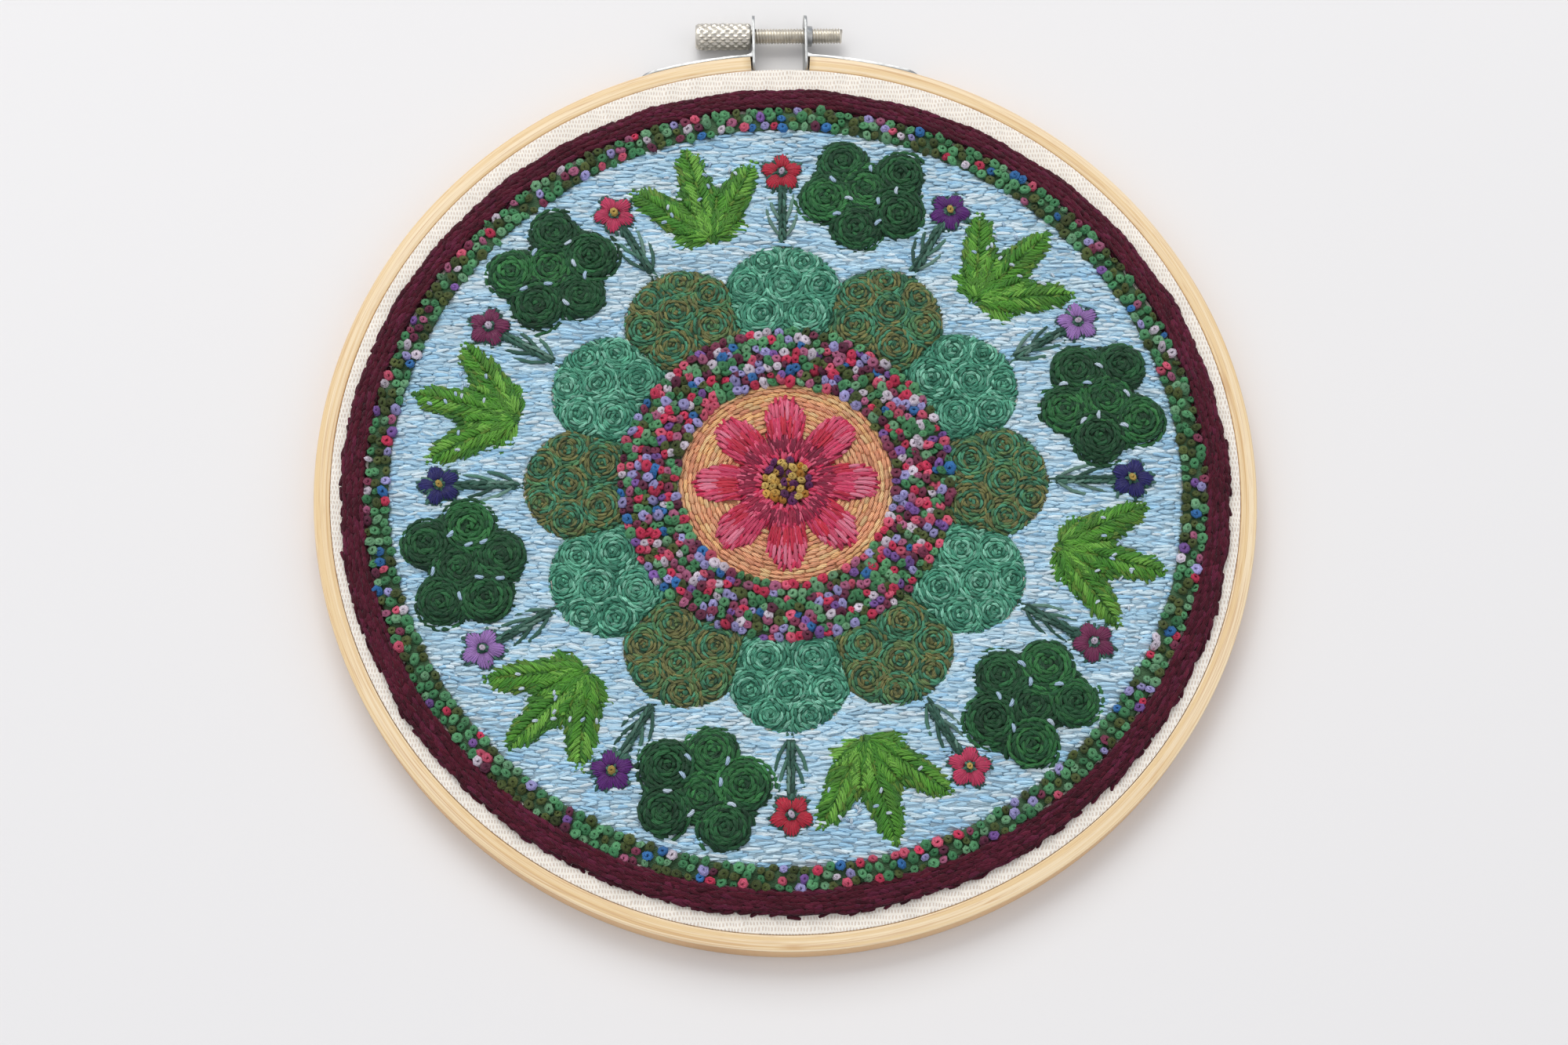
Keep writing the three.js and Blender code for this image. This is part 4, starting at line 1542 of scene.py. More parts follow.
@dataclass
class Border:
    """The maroon rope of chain stitches round the design."""

    inner: float = 94.1
    outer: float = 98.7
    rows: int = 3
    stride: float = 2.1
    length: float = 3.3
    mean_r: float = 96.0
    spread: float = 0.42
    width: float = 1.22
    height: float = 0.85
    hairs: int = 520
    colours: str = "5a1a2b 642035 4c1726 68233d 551a2a 5e1e32"
    # Darker than the thread: painted shade in the gaps between the links
    bed_colour: str = "3d1120"

    def edges(self, angle: Array) -> tuple[Array, Array]:
        """Gives the band's uneven inner and outer radius at angles from +X."""
        heavy = 1 - np.sin(angle)
        inner_wave = np.sin(31 * angle) + 0.7 * np.sin(17 * angle + 3)
        outer_wave = np.sin(31 * angle) + 0.7 * np.sin(17 * angle + 1)
        inner = self.inner - 0.15 * heavy - 0.1 + 0.0875 * inner_wave
        outer = self.outer + 0.12 * heavy - 0.2 + 0.245 * outer_wave
        return inner, outer

    def dress(self) -> None:
        """Sews the rows from the outside in."""
        needle = Needle(Bed(["border_stitching"], SUNK, 0.76), 11, self.bed_colour)
        colours = palette(self.colours)
        links = int(FULL_TURN * self.mean_r / self.stride)
        for row in range(self.rows):
            angle = (
                np.arange(links) + needle.rng.uniform(-0.12, 0.12, links) + 0.37 * row
            ) * FULL_TURN / links
            inner, outer = self.edges(angle)
            share = 0.2 + 0.6 * row / (self.rows - 1) + needle.rng.normal(0, 0.015, links)
            radius = inner + (outer - inner) * share
            middles = unit(angle) * radius[:, None]
            heading = unit(angle + math.pi / 2)
            at, ahead = placed_heading(middles, heading, 0)
            length = self.length * needle.rng.uniform(0.86, 1.14, links)
            thread = (self.width, self.height, colours)
            needle.chain(at, ahead, length, self.spread, *thread, bow=-0.03, lift=0.18, vary=0.11)
        middle = PLAN.onto(np.zeros((1, 2)))
        # The filler stitches are the thread darkened to 0.9: painted shade in the gaps
        needle.cover(
            lambda places: circling(middle, places), colours * 0.9, 3.2, 1.15, 0.8, over=0.15, lift=0.12
        )
        self.fuzz(needle, colours)
        wool = ThreadFinish(
            "maroon_cotton", roughness=0.8, sheen=0.1, shine=0.16, strand=0.3, twist=1.5, groove=0.6
        )
        needle.finish("maroon_border", "maroon_thread", wool, ["border_stitching"])

    def fuzz(self, needle: Needle, colours: Array) -> None:
        """Lays loose fine fibres over the rope.

        Args:
            needle: The work they join.
            colours: The palette.
        """
        angle = needle.rng.uniform(0, FULL_TURN, self.hairs)
        inner, outer = self.edges(angle)
        radius = inner + (outer - inner) * needle.rng.uniform(-0.04, 1.04, self.hairs)
        at = PLAN.onto(unit(angle) * radius[:, None])
        half = unit(
            needle.rng.uniform(0, FULL_TURN, self.hairs)
        ) * needle.rng.uniform(0.5, 1.5, (self.hairs, 1))
        near = needle.dyed(colours * 1.9, self.hairs, 1.0)
        bow = needle.rng.normal(0, 0.35, self.hairs)
        lift = needle.rng.uniform(9, 13, self.hairs)
        needle.sew(at - half, at + half, 0.06, 0.06, near, None, bow, lift, shape=needle.hair)


@dataclass
class KnotField:
    """A band or patch of French knots."""

    name: str
    node: str
    inner: float
    outer: float
    spacing: float
    size: float
    colours: str
    shares: tuple[float, ...]
    bed_colour: str
    seed: int
    low: float = SUNK
    share: float = 0.36
    slot: str = "knot_thread"

    def middles(self, rng: np.random.Generator) -> Array:
        """Spreads the knots over rings, staggered and uneven."""
        places = []
        rings = math.ceil((self.outer - self.inner) / (self.spacing * 0.88) - 0.25)
        for ring in range(rings):
            radius = self.inner + (ring + 0.5) * (self.outer - self.inner) / rings
            count = max(1, int(round(FULL_TURN * radius / self.spacing)))
            angle = (np.arange(count) + 0.5 * (ring % 2)) * FULL_TURN / count
            sway = np.clip(rng.normal(0, 0.3, (count, 2)), -0.55, 0.55)
            places.append(unit(angle) * radius + sway)
        return np.concatenate(places)

    def dress(self) -> None:
        """Ties the knots."""
        needle = Needle(Bed([self.node], self.low, self.share), self.seed, self.bed_colour)
        flat = self.middles(needle.rng)
        picks = needle.rng.choice(len(self.shares), len(flat), p=np.array(self.shares) / sum(self.shares))
        dyes = palette(self.colours)[picks] * (1.12 + needle.rng.normal(0, 0.13, (len(flat), 1)))
        needle.knots(PLAN.onto(flat), self.size, dyes)
        needle.finish(
            self.name, self.slot, ThreadFinish(f"{self.name}_floss", strand=0.34, twist=1.2), [self.node]
        )


@dataclass
class Ground:
    """The blue ground of long level stitches."""

    pitch: float = 0.67
    width: float = 0.9
    height: float = 0.62
    shortest: float = 2.6
    longest: float = 5.4
    tuck: float = 0.25
    slope: float = 0.36
    overlap: float = 0.6
    colours: str = "b8e1f8 c8eafc aad9f6 d9f2fd bee5fa e3f5fd"
    bed_colour: str = "cdebfb"

    def inside(self, points: Array, margin: float) -> Array:
        """Says which points of the flat design lie on the ground, by a margin."""
        reach = np.hypot(points[:, 0], points[:, 1])
        turn = np.degrees(np.arctan2(points[:, 0], points[:, 1])) % 30
        inner = PLAN.scallop_reach(np.minimum(turn, 30 - turn))
        return (reach < PLAN.ground_out - margin) & (reach > inner + 0.5 + margin)

    def clipped(self, starts: Array, ends: Array) -> tuple[Array, Array]:
        """Cuts stitches back to the part of each that lies on the ground.

        Args:
            starts: Rows of x and y in the flat design.
            ends: The same for the other ends.

        Returns:
            The new starts and ends, alike where nothing is left.
        """
        shares = np.linspace(0, 1, 15)
        places = starts[:, None, :] + (ends - starts)[:, None, :] * shares[None, :, None]
        inside = self.inside(places.reshape(-1, 2), -self.overlap).reshape(len(starts), -1)
        low = inside.argmax(axis=1)
        high = len(shares) - 1 - inside[:, ::-1].argmax(axis=1)
        high = np.where(inside.any(axis=1), high, low)
        rows = np.arange(len(starts))
        return places[rows, low], places[rows, high]

    def dress(self) -> None:
        """Sews level rows over the bed, where nothing else covers them."""
        needle = Needle(Bed(["ground_stitching"], SUNK, 0.62), 23, self.bed_colour)
        starts, ends = [], []
        for row in np.arange(-PLAN.ground_out, PLAN.ground_out, self.pitch):
            x = -PLAN.ground_out - needle.rng.uniform(0, self.longest)
            while x < PLAN.ground_out:
                length = needle.rng.uniform(self.shortest, self.longest)
                slope = needle.rng.normal(0, self.slope, 2)
                starts.append((x, row + slope[0]))
                ends.append((x + length, row + slope[1]))
                x += length - self.tuck
        first, last = self.clipped(np.array(starts), np.array(ends))
        middle = (first + last) / 2
        keep = (np.hypot(*(last - first).T) > 0.9) & ~PLAN.under_motif(middle, 1.3)
        first, last = first[keep], last[keep]
        near = needle.dyed(palette(self.colours), len(first), 1.6, 0.07)
        far = near * (1 + needle.rng.normal(0, 0.05, (len(first), 1)))
        lift = needle.rng.uniform(0.05, 0.6, len(first))
        needle.sew(PLAN.onto(first), PLAN.onto(last), self.width, self.height, near, far, 0.0, lift)
        finish = ThreadFinish("sky_floss", roughness=0.55, strand=0.36, twist=3.2, groove=0.9)
        needle.finish("sky_ground", "sky_thread", finish, ["ground_stitching"])


@dataclass
class Scallops:
    """The ring of scallops, filled with rosettes of spiral stitches."""

    pitch: float = 0.82
    length: float = 2.5
    width: float = 0.8
    height: float = 0.78
    fill_side: tuple[float, float, float] = (-16.0, 16.0, 1.35)
    fill_reach: tuple[float, float, float] = (36.0, 60.0, 1.2)
    teal: str = "48997c 62b594 8ad0b4 54a486 3a866b 72c3a3"
    olive: str = "5a9160 75794a 509a76 85854f 3a7455 6d8752"

    def inside(self, points: Array) -> Array:
        """Says which places of a sector lie in its scallop."""
        reach = np.hypot(points[:, 0], points[:, 1])
        angle = np.degrees(np.arctan2(points[:, 0], points[:, 1]))
        return (np.abs(angle) < 15) & (reach > PLAN.scallop_in + 0.3) & (
            reach < PLAN.scallop_reach(angle) + 0.3
        )

    def rosette(self, needle: Needle, centre: tuple[float, float], turn: float, colours: Array) -> None:
        """Sews one rosette.

        Args:
            needle: The work it joins.
            centre: Its side and reach.
            turn: Its sector's turn.
            colours: The palette.
        """
        hand = 1 if needle.rng.random() < 0.5 else -1
        start = needle.rng.uniform(0, FULL_TURN)
        places, headings, radii = spiral(
            centre, 0.4, PLAN.rosette_r - 0.1, self.pitch, self.length * 0.78, hand, start
        )
        keep = self.inside(places)
        places, headings, radii = places[keep], headings[keep], radii[keep]
        headings = headings + needle.rng.normal(0, 0.17, headings.shape)
        places = places + needle.rng.normal(0, 0.10, places.shape)
        at, ahead = placed_heading(places, headings, turn)
        length = np.minimum(self.length, radii * 1.6) * needle.rng.uniform(0.9, 1.15, len(at))
        bow = -hand * np.minimum(0.5, length**2 / (8 * radii))
        near = needle.dyed(colours, len(at), 1.6, 0.14)
        far = near * (1 + needle.rng.normal(0, 0.10, (len(at), 1)))
        half = ahead * length[:, None] / 2
        lift = 0.15 + 0.25 * needle.rng.random(len(at))
        needle.sew(at - half, at + half, self.width, self.height, near, far, bow, lift)

    def fill(self, needle: Needle, turn: float, colours: Array) -> None:
        """Fills what the rosettes leave open in a sector with short stitches.

        Args:
            needle: The work they join.
            turn: The sector's turn.
            colours: The palette.
        """
        side, reach = np.meshgrid(np.arange(*self.fill_side), np.arange(*self.fill_reach))
        points = np.stack((side.ravel(), reach.ravel()), axis=1)
        points = points + needle.rng.normal(0, 0.25, points.shape)
        middles = np.array(PLAN.rosettes())
        away = points[:, None, :] - middles[None, :, :]
        distance = np.hypot(away[..., 0], away[..., 1])
        nearest = distance.argmin(axis=1)
        free = (distance.min(axis=1) > PLAN.rosette_r - 0.3) & self.inside(points)
        points, nearest = points[free], nearest[free]
        out = points - middles[nearest]
        angle = np.arctan2(out[:, 1], out[:, 0]) + math.pi / 2 + needle.rng.normal(0, 0.3, len(points))
        at, ahead = placed_heading(points, unit(angle), turn)
        half = ahead * needle.rng.uniform(0.9, 1.4, (len(at), 1))
        near = needle.dyed(colours, len(at), 2.0)
        needle.sew(at - half, at + half, self.width, self.height, near, None, 0.1, 0.2)

    def dress(self) -> None:
        """Sews the teal and the olive scallops as two pieces."""
        # The bed colours are darker than the threads: painted shade in the gaps between stitches
        kinds = (
            ("teal_rosettes", "teal_thread", 0, "2b6e55", palette(self.teal), 31),
            ("olive_rosettes", "olive_thread", 1, "3a5238", palette(self.olive), 37),
        )
        for name, slot, first, bed_colour, colours, seed in kinds:
            turns = PLAN.flower_turns()[first::2]
            nodes = [f"scallop_{i + 1}" for i in range(first, PLAN.sectors, 2)]
            needle = Needle(Bed(nodes, SUNK, 0.9), seed, bed_colour)
            for turn in turns:
                for centre in PLAN.rosettes():
                    self.rosette(needle, centre, turn, colours)
                self.fill(needle, turn, colours)
            hearts = np.concatenate([PLAN.onto(np.array(PLAN.rosettes()), turn) for turn in turns])
            # The filler stitches are the palette darkened to 0.75: painted shade between the rosettes
            needle.cover(lambda places: circling(hearts, places), colours * 0.75, 2.2, 0.95, 0.6, over=0.45)
            needle.finish(name, slot, ThreadFinish(f"{slot}_floss"), nodes)


@dataclass
class Whorls:
    """Clusters of dark green whorls of chain stitch."""

    pitch: float = 2.05
    stride: float = 1.95
    length: float = 3.2
    width: float = 1.05
    height: float = 0.95
    peeks_at: Table = (
        (-4.4, 66.6),
        (4.6, 67.2),
        (-3.4, 71.2),
        (3.8, 71.6),
        (-7.6, 75.4),
        (7.4, 75.9),
        (0.2, 80.0),
    )
    dark: str = "16482a 205a34 1a4f2d 2a6a3c"
    fresh: str = "2a6e3a 3a8346 1f5a33 31753e"
    # Darker than the threads: painted shade in the gaps between the chains
    bed_colour: str = "123d22"

    def dress(self) -> None:
        """Sews every whorl from its rim inwards."""
        nodes = [f"whorls_{i + 1}" for i in range(PLAN.clusters)]
        needle = Needle(Bed(nodes, RAISED, 1.42, inset=0.95), 41, self.bed_colour)
        dark, fresh = palette(self.dark), palette(self.fresh)
        for turn in PLAN.whorl_turns():
            for index, (side, reach, radius) in enumerate(PLAN.whorls):
                hand = 1 if index % 2 else -1
                start = needle.rng.uniform(0, FULL_TURN)
                places, headings, radii = spiral(
                    (side, reach), 0.7, radius - 0.5, self.pitch, self.stride, hand, start
                )
                at, ahead = placed_heading(places, headings, turn)
                length = np.minimum(self.length, radii * 1.7)
                bow = -hand * np.minimum(0.55, length**2 / (8 * radii))
                colours = fresh if needle.rng.random() < 0.5 else dark
                lift = 0.2 + 0.12 * (index % 3)
                needle.chain(at, ahead, length, 0.5, self.width, self.height, colours, bow, lift)
        middles = np.array([whorl[:2] for whorl in PLAN.whorls])
        hearts = np.concatenate([PLAN.onto(middles, turn) for turn in PLAN.whorl_turns()])
        # The filler stitches are the dark greens darkened to 0.85: painted shade between the whorls
        needle.cover(lambda places: circling(hearts, places), dark * 0.85, 3.0, 1.15, 0.7)
        for turn in PLAN.whorl_turns():
            self.peeks(needle, turn)
        needle.finish(
            "green_whorls", "dark_green_thread", ThreadFinish("dark_green_floss", twist=1.5), nodes
        )

    def peeks(self, needle: Needle, turn: float) -> None:
        """Sews the few pale stitches that show between the whorls of a cluster."""
        spots = np.array(self.peeks_at)
        spots = spots + needle.rng.normal(0, 0.5, spots.shape)
        angle = needle.rng.uniform(0, math.pi, len(spots))
        at, ahead = placed_heading(spots, unit(angle), turn)
        near = needle.dyed(palette(PALE_PEEKS), len(at), 1.5, 0.04)
        needle.sew(at - ahead * 1.15, at + ahead * 1.15, 1.0, 0.9, near, None, 0.2, 0.9)


@dataclass
class Ferns:
    """Bright green ferns of slanted leaf stitches."""

    step: float = 1.0
    width: float = 0.92
    height: float = 0.78
    slant: float = 38.0
    between: Table = ((-20.0, 12.5), (20.0, 12.5), (-62.0, 9.0), (62.0, 9.0))
    peeks: int = 12
    bright: str = "559a2d 66a838 468a29 79b747 518b2d"
    deep: str = "44802c 4f8f30 5d8a2e 6a8f35"
    under: str = "44802c 3f7a2a 4f8f30 6a8f35"
    pale: str = "b9d6ef d9eaf7"
    # Darker than the threads: painted shade in the gaps between the leaves
    bed_colour: str = "37701f"

    def frond(self, needle: Needle, turn: float, lean: float, length: float) -> None:
        """Sews one frond, two leaves at a time from the root up.

        Args:
            needle: The work it joins.
            turn: The sector's turn.
            lean: The frond's lean, in degrees.
            length: The frond's length.
        """
        along = np.arange(1.2, length - 0.6, self.step)
        half = PLAN.frond_width((along + 1.4) / length)
        cos, sin = math.cos(math.radians(lean)), math.sin(math.radians(lean))
        rib = np.stack((along * sin, PLAN.fern_root + along * cos), axis=1)
        lower = (palette(self.deep), 1.0, self.width, 0.1)
        upper = (palette(self.bright), 0.72, self.width * 0.95, 0.5)
        for colours, reach, width, lift in (lower, upper):
            for side in Side:
                angle = math.radians(90 - lean) - side.value * math.radians(self.slant)
                leaf = np.clip(half / math.sin(math.radians(self.slant)), 1.6, 5.2) * reach
                leaf = leaf * needle.rng.uniform(0.88, 1.12, len(leaf))
                sway = needle.rng.normal(0, 0.07, len(leaf))
                direction = unit(angle + sway)
                root = rib + direction * 0.15
                at = PLAN.onto(root, turn)
                tip = PLAN.onto(root + direction * leaf[:, None], turn)
                near = needle.dyed(colours, len(at), 3.0)
                far = near * 1.12
                rise = lift + needle.rng.uniform(-0.05, 0.12, len(at))
                needle.sew(at, tip, width, self.height, near, far, -side.value * 0.18, rise)

    def specks(self, needle: Needle, turn: float) -> None:
        """Sews the small pale stitches that show through a fern."""
        side = needle.rng.uniform(-11, 11, self.peeks)
        reach = PLAN.fern_root + needle.rng.uniform(9, 21, self.peeks) - np.abs(side) * 0.2
        heading = unit(needle.rng.uniform(0, math.pi, self.peeks))
        at, ahead = placed_heading(np.stack((side, reach), axis=1), heading, turn)
        near = needle.dyed(palette(self.pale), len(at), 1.5, 0.04)
        needle.sew(at - ahead * 0.75, at + ahead * 0.75, 0.8, 0.7, near, None, 0.0, 1.0)

    def dress(self) -> None:
        """Sews all the ferns as one piece."""
        nodes = [f"fern_{i + 1}" for i in range(PLAN.clusters)]
        needle = Needle(Bed(nodes, RAISED, 1.25, inset=0.93), 43, self.bed_colour)
        for turn in PLAN.fern_turns():
            for lean, length in (*self.between, *PLAN.fronds):
                self.frond(needle, turn, lean, length)
        root = np.array([[0.0, PLAN.fern_root - 1.0]])
        roots = np.concatenate([PLAN.onto(root, turn) for turn in PLAN.fern_turns()])
        needle.cover(lambda places: radiating(roots, places), palette(self.under), 2.8, 1.05, 0.65)
        for turn in PLAN.fern_turns():
            self.specks(needle, turn)
        needle.finish("bright_ferns", "bright_green_thread", ThreadFinish("bright_green_floss"), nodes)


@dataclass
class Flowers:
    """Small satin-stitch flowers on stems."""

    petals: int = 5
    stitches: int = 8
    width: float = 0.82
    height: float = 0.62
    blades: Table = (
        (-0.4, 60.5, -3.6, 68.6, 0.7),
        (0.4, 60.2, 3.4, 67.4, -0.7),
        (-0.3, 64.5, -2.9, 71.6, 0.5),
        (0.3, 63.6, 2.7, 72.2, -0.5),
    )
    greens: str = "4f7f6c 3c6b5b 2f5a4b 6a9182"
    under: str = "3c6b5b 2f5a4b 4f7f6c"
    heads: str = "d8324a 6b2a86 b88ad6 2f2d78 8a3562 e0466f"
    eyes: tuple[str, str] = ("e7d7ea", "d9b65a")
    bed_colour: str = "2f5a4b"

    def head(self, needle: Needle, turn: float, colour: Array, deep: Array) -> None:
        """Sews the petals of one flower and the knot in its middle.

        Args:
            needle: The work it joins.
            turn: The sector's turn.
            colour: The petals' colour.
            deep: Their colour near the middle.
        """
        spread = math.pi / self.petals * 0.86
        for petal in range(self.petals):
            axis = math.pi / 2 + petal * FULL_TURN / self.petals
            off = np.linspace(-spread, spread, self.stitches)
            edge = PLAN.flower_r - 1.5 * (1 - np.abs(np.cos(self.petals / 2 * off)))
            edge = edge + needle.rng.normal(0, 0.10, len(off))
            middle = np.array((0, PLAN.flower_reach))
            starts = middle + unit(axis + off * 0.9) * 1.0
            ends = middle + unit(axis + off * 0.92) * edge[:, None]
            near = deep * (1 + needle.rng.normal(0, 0.06, (len(off), 1)))
            far = colour * (1 + needle.rng.normal(0, 0.10, (len(off), 1)))
            lift = 0.45 - 0.5 * np.abs(off / spread) + needle.rng.uniform(-0.06, 0.06, len(off))
            needle.sew(
                PLAN.onto(starts, turn),
                PLAN.onto(ends, turn),
                self.width,
                self.height,
                near,
                far,
                0.0,
                lift,
            )

    def stem(self, needle: Needle, turn: float) -> None:
        """Sews one stem with its blades."""
        reach = np.arange(PLAN.scallop_shoulder + 9.6, PLAN.flower_reach - 4.6, 1.9)
        places = np.stack((0.12 * np.sin(reach), reach), axis=1)
        heading = np.tile((0.0, 1.0), (len(reach), 1))
        at, ahead = placed_heading(places, heading, turn)
        greens = palette(self.greens)
        needle.chain(at, ahead, 2.9, 0.42, 0.85, 0.62, greens, 0.0, 0.3)
        for x0, y0, x1, y1, bow in self.blades:
            start = PLAN.onto(np.array([[x0, y0]]), turn)
            end = PLAN.onto(np.array([[x1, y1]]), turn)
            near = needle.dyed(greens, 1)
            needle.sew(start, end, 1.0, 0.7, near, near * 1.15, bow, 0.7)

    def dress(self) -> None:
        """Sews all the flowers as one piece."""
        nodes = [f"flower_{i + 1}" for i in range(PLAN.sectors)]
        needle = Needle(Bed(nodes, RAISED, 1.2), 47, self.bed_colour)
        heads = palette(self.heads)
        middles = []
        for index, turn in enumerate(PLAN.flower_turns()):
            self.stem(needle, turn)
            colour = heads[index % len(heads)]
            self.head(needle, turn, colour, colour * 0.62)
            middle = PLAN.onto(np.array([[0.0, PLAN.flower_reach]]), turn)
            needle.knots(middle, 0.8, palette(self.eyes[index % 2]), 0.7)
            middles.append(middle)
        hearts = np.concatenate(middles)
        needle.cover(lambda places: radiating(hearts, places), palette(self.under), 2.2, 0.9, 0.5)
        finish = ThreadFinish("petal_floss", roughness=0.45, strand=0.3, twist=3.4, groove=0.6)
        needle.finish("small_flowers", "petal_thread", finish, nodes)


@dataclass
class Centre:
    """The medallion's middle: a tan disc, a large flower and a heart of knots."""

    disc_r: float = 24.0
    petals: int = 8
    petal_in: float = 9.5
    petal_out: float = 20.5
    # Both beds are darker than their threads: painted shade in the gaps between stitches
    disc_bed: str = "e5a378"
    flower_bed: str = "7a1730"
    tans: str = "ffbc8c ffc88a f2a680 ffc294 fab286 ffd69c"
    tiers: tuple[tuple[float, float, int, str, float], ...] = (
        (6.0, 12.0, 11, "9e1f45 8a1a3e ad2549", 0.15),
        (10.2, 16.8, 13, "d8324a cf2c4a e0466f", 0.3),
        (14.6, 30.0, 12, "ee6d8b e65478 f48aa4", 0.45),
    )
    under: str = "d8325c e65478 ee6d8b"

    def edge(self, angle: Array) -> Array:
        """Gives the large flower's edge at angles from +X."""
        lobe = np.abs(np.cos(self.petals / 2 * angle)) ** 0.6
        return self.petal_in + (self.petal_out - self.petal_in) * lobe

    def dress_disc(self) -> None:
        """Sews the tan disc in rings of overlapping stitches."""
        needle = Needle(Bed(["disc_stitching"], SUNK, 0.62), 53, self.disc_bed)
        colours = palette(self.tans)
        for radius in np.arange(self.disc_r - 0.6, 8.0, -1.0):
            count = int(FULL_TURN * radius / 2.45)
            angle = (np.arange(count) + needle.rng.random()) * FULL_TURN / count
            angle = angle + needle.rng.normal(0, 0.15, count) / radius
            angle = angle[radius > self.edge(angle) - 2.0]
            heading = unit(angle + math.pi / 2 + needle.rng.normal(0, 0.08, len(angle)))
            at, ahead = placed_heading(unit(angle) * radius, heading, 0)
            half = ahead * needle.rng.uniform(1.4, 1.8, (len(angle), 1))
            near = needle.dyed(colours, len(angle), 1.8, 0.08)
            far = near * (1 + needle.rng.normal(0, 0.08, (len(angle), 1)))
            lift = needle.rng.uniform(0.1, 0.45, len(angle))
            needle.sew(at - half, at + half, 1.1, 0.72, near, far, -1.2 / radius, lift)
        needle.finish("tan_disc", "tan_thread", ThreadFinish("tan_floss", twist=1.5), ["disc_stitching"])

    def dress_flower(self) -> None:
        """Sews the large petals in three tiers of long and short stitches."""
        needle = Needle(Bed(["middle_flower"], RAISED, 1.25), 59, self.flower_bed)
        for petal in range(self.petals):
            axis = petal * FULL_TURN / self.petals
            for low, high, count, colours, lift in self.tiers:
                off = np.linspace(-0.36, 0.36, count) + needle.rng.normal(0, 0.012, count)
                edge = self.edge(axis + off)
                start = low + needle.rng.uniform(-0.8, 0.8, count)
                end = np.minimum(
                    high + needle.rng.uniform(-1.2, 1.2, count), edge + needle.rng.normal(0, 0.12, count)
                )
                keep = end - start > 1.6
                off, start, end = off[keep], start[keep], end[keep]
                starts = unit(axis + off) * np.maximum(start, 6.1)[:, None]
                ends = unit(axis + off * 0.95) * end[:, None]
                near = needle.dyed(palette(colours), len(off), 2.0, 0.08)
                rise = lift + needle.rng.uniform(-0.08, 0.08, len(off))
                needle.sew(
                    PLAN.onto(starts), PLAN.onto(ends), 0.95, 0.66, near * 0.9, near * 1.08, 0.0, rise
                )
        middle = PLAN.onto(np.zeros((1, 2)))
        needle.cover(lambda places: radiating(middle, places), palette(self.under), 2.6, 0.9, 0.5, over=0.1)
        finish = ThreadFinish("large_petal_floss", roughness=0.45, strand=0.32, twist=3.4, groove=0.62)
        needle.finish("large_flower", "petal_thread", finish, ["middle_flower"])

    def dress(self) -> None:
        """Builds the disc, the flower and the heart."""
        self.dress_disc()
        self.dress_flower()
        KnotField(
            name="heart_of_knots",
            node="heart_knots",
            inner=0.0,
            outer=5.7,
            spacing=1.95,
            size=1.05,
            colours="e3c069 d9a94e 6b2a66 c98a2e",
            shares=(4, 3, 2, 2),
            bed_colour="8a6228",
            seed=61,
            low=CLOTH_TOP + 0.3,
            share=0.75,
        ).dress()


def dress_knot_bands() -> None:
    """Ties the two bands of knots: the inner round the disc, the outer inside the border."""
    greens = "4a9460 62ab74 5c6a33 4b5b29 7ab385"
    blooms = "e23a60 ee6482 8f3c5a bf6a8e b2ace6 8d62b4 eee2f0 357bc0 6e2b48"
    KnotField(
        name="inner_knot_band",
        node="inner_knots",
        inner=23.8,
        outer=37.3,
        spacing=2.06,
        size=1.23,
        colours=f"{greens} {blooms}",
        shares=(10, 9, 6, 4, 6, 9, 8, 8, 9, 8, 6, 7, 5, 6),
        bed_colour="5a7a54",
        seed=67,
    ).dress()
    KnotField(
        name="outer_knot_band",
        node="edge_knots",
        inner=88.1,
        outer=93.9,
        spacing=2.4,
        size=1.15,
        colours=f"{greens} {blooms}",
        shares=(20, 18, 14, 12, 10, 3, 3, 3, 3, 4, 3, 3, 4, 3),
        bed_colour="4f7550",
        seed=71,
    ).dress()


class BackOfCloth:
    """The cloth's level underside, for stitches that hang from it."""

    low = CLOTH_BACK

    def height(self, places: Array) -> Array:
        """Gives the underside's height at places on the cloth."""
        return np.full(len(places), self.low)


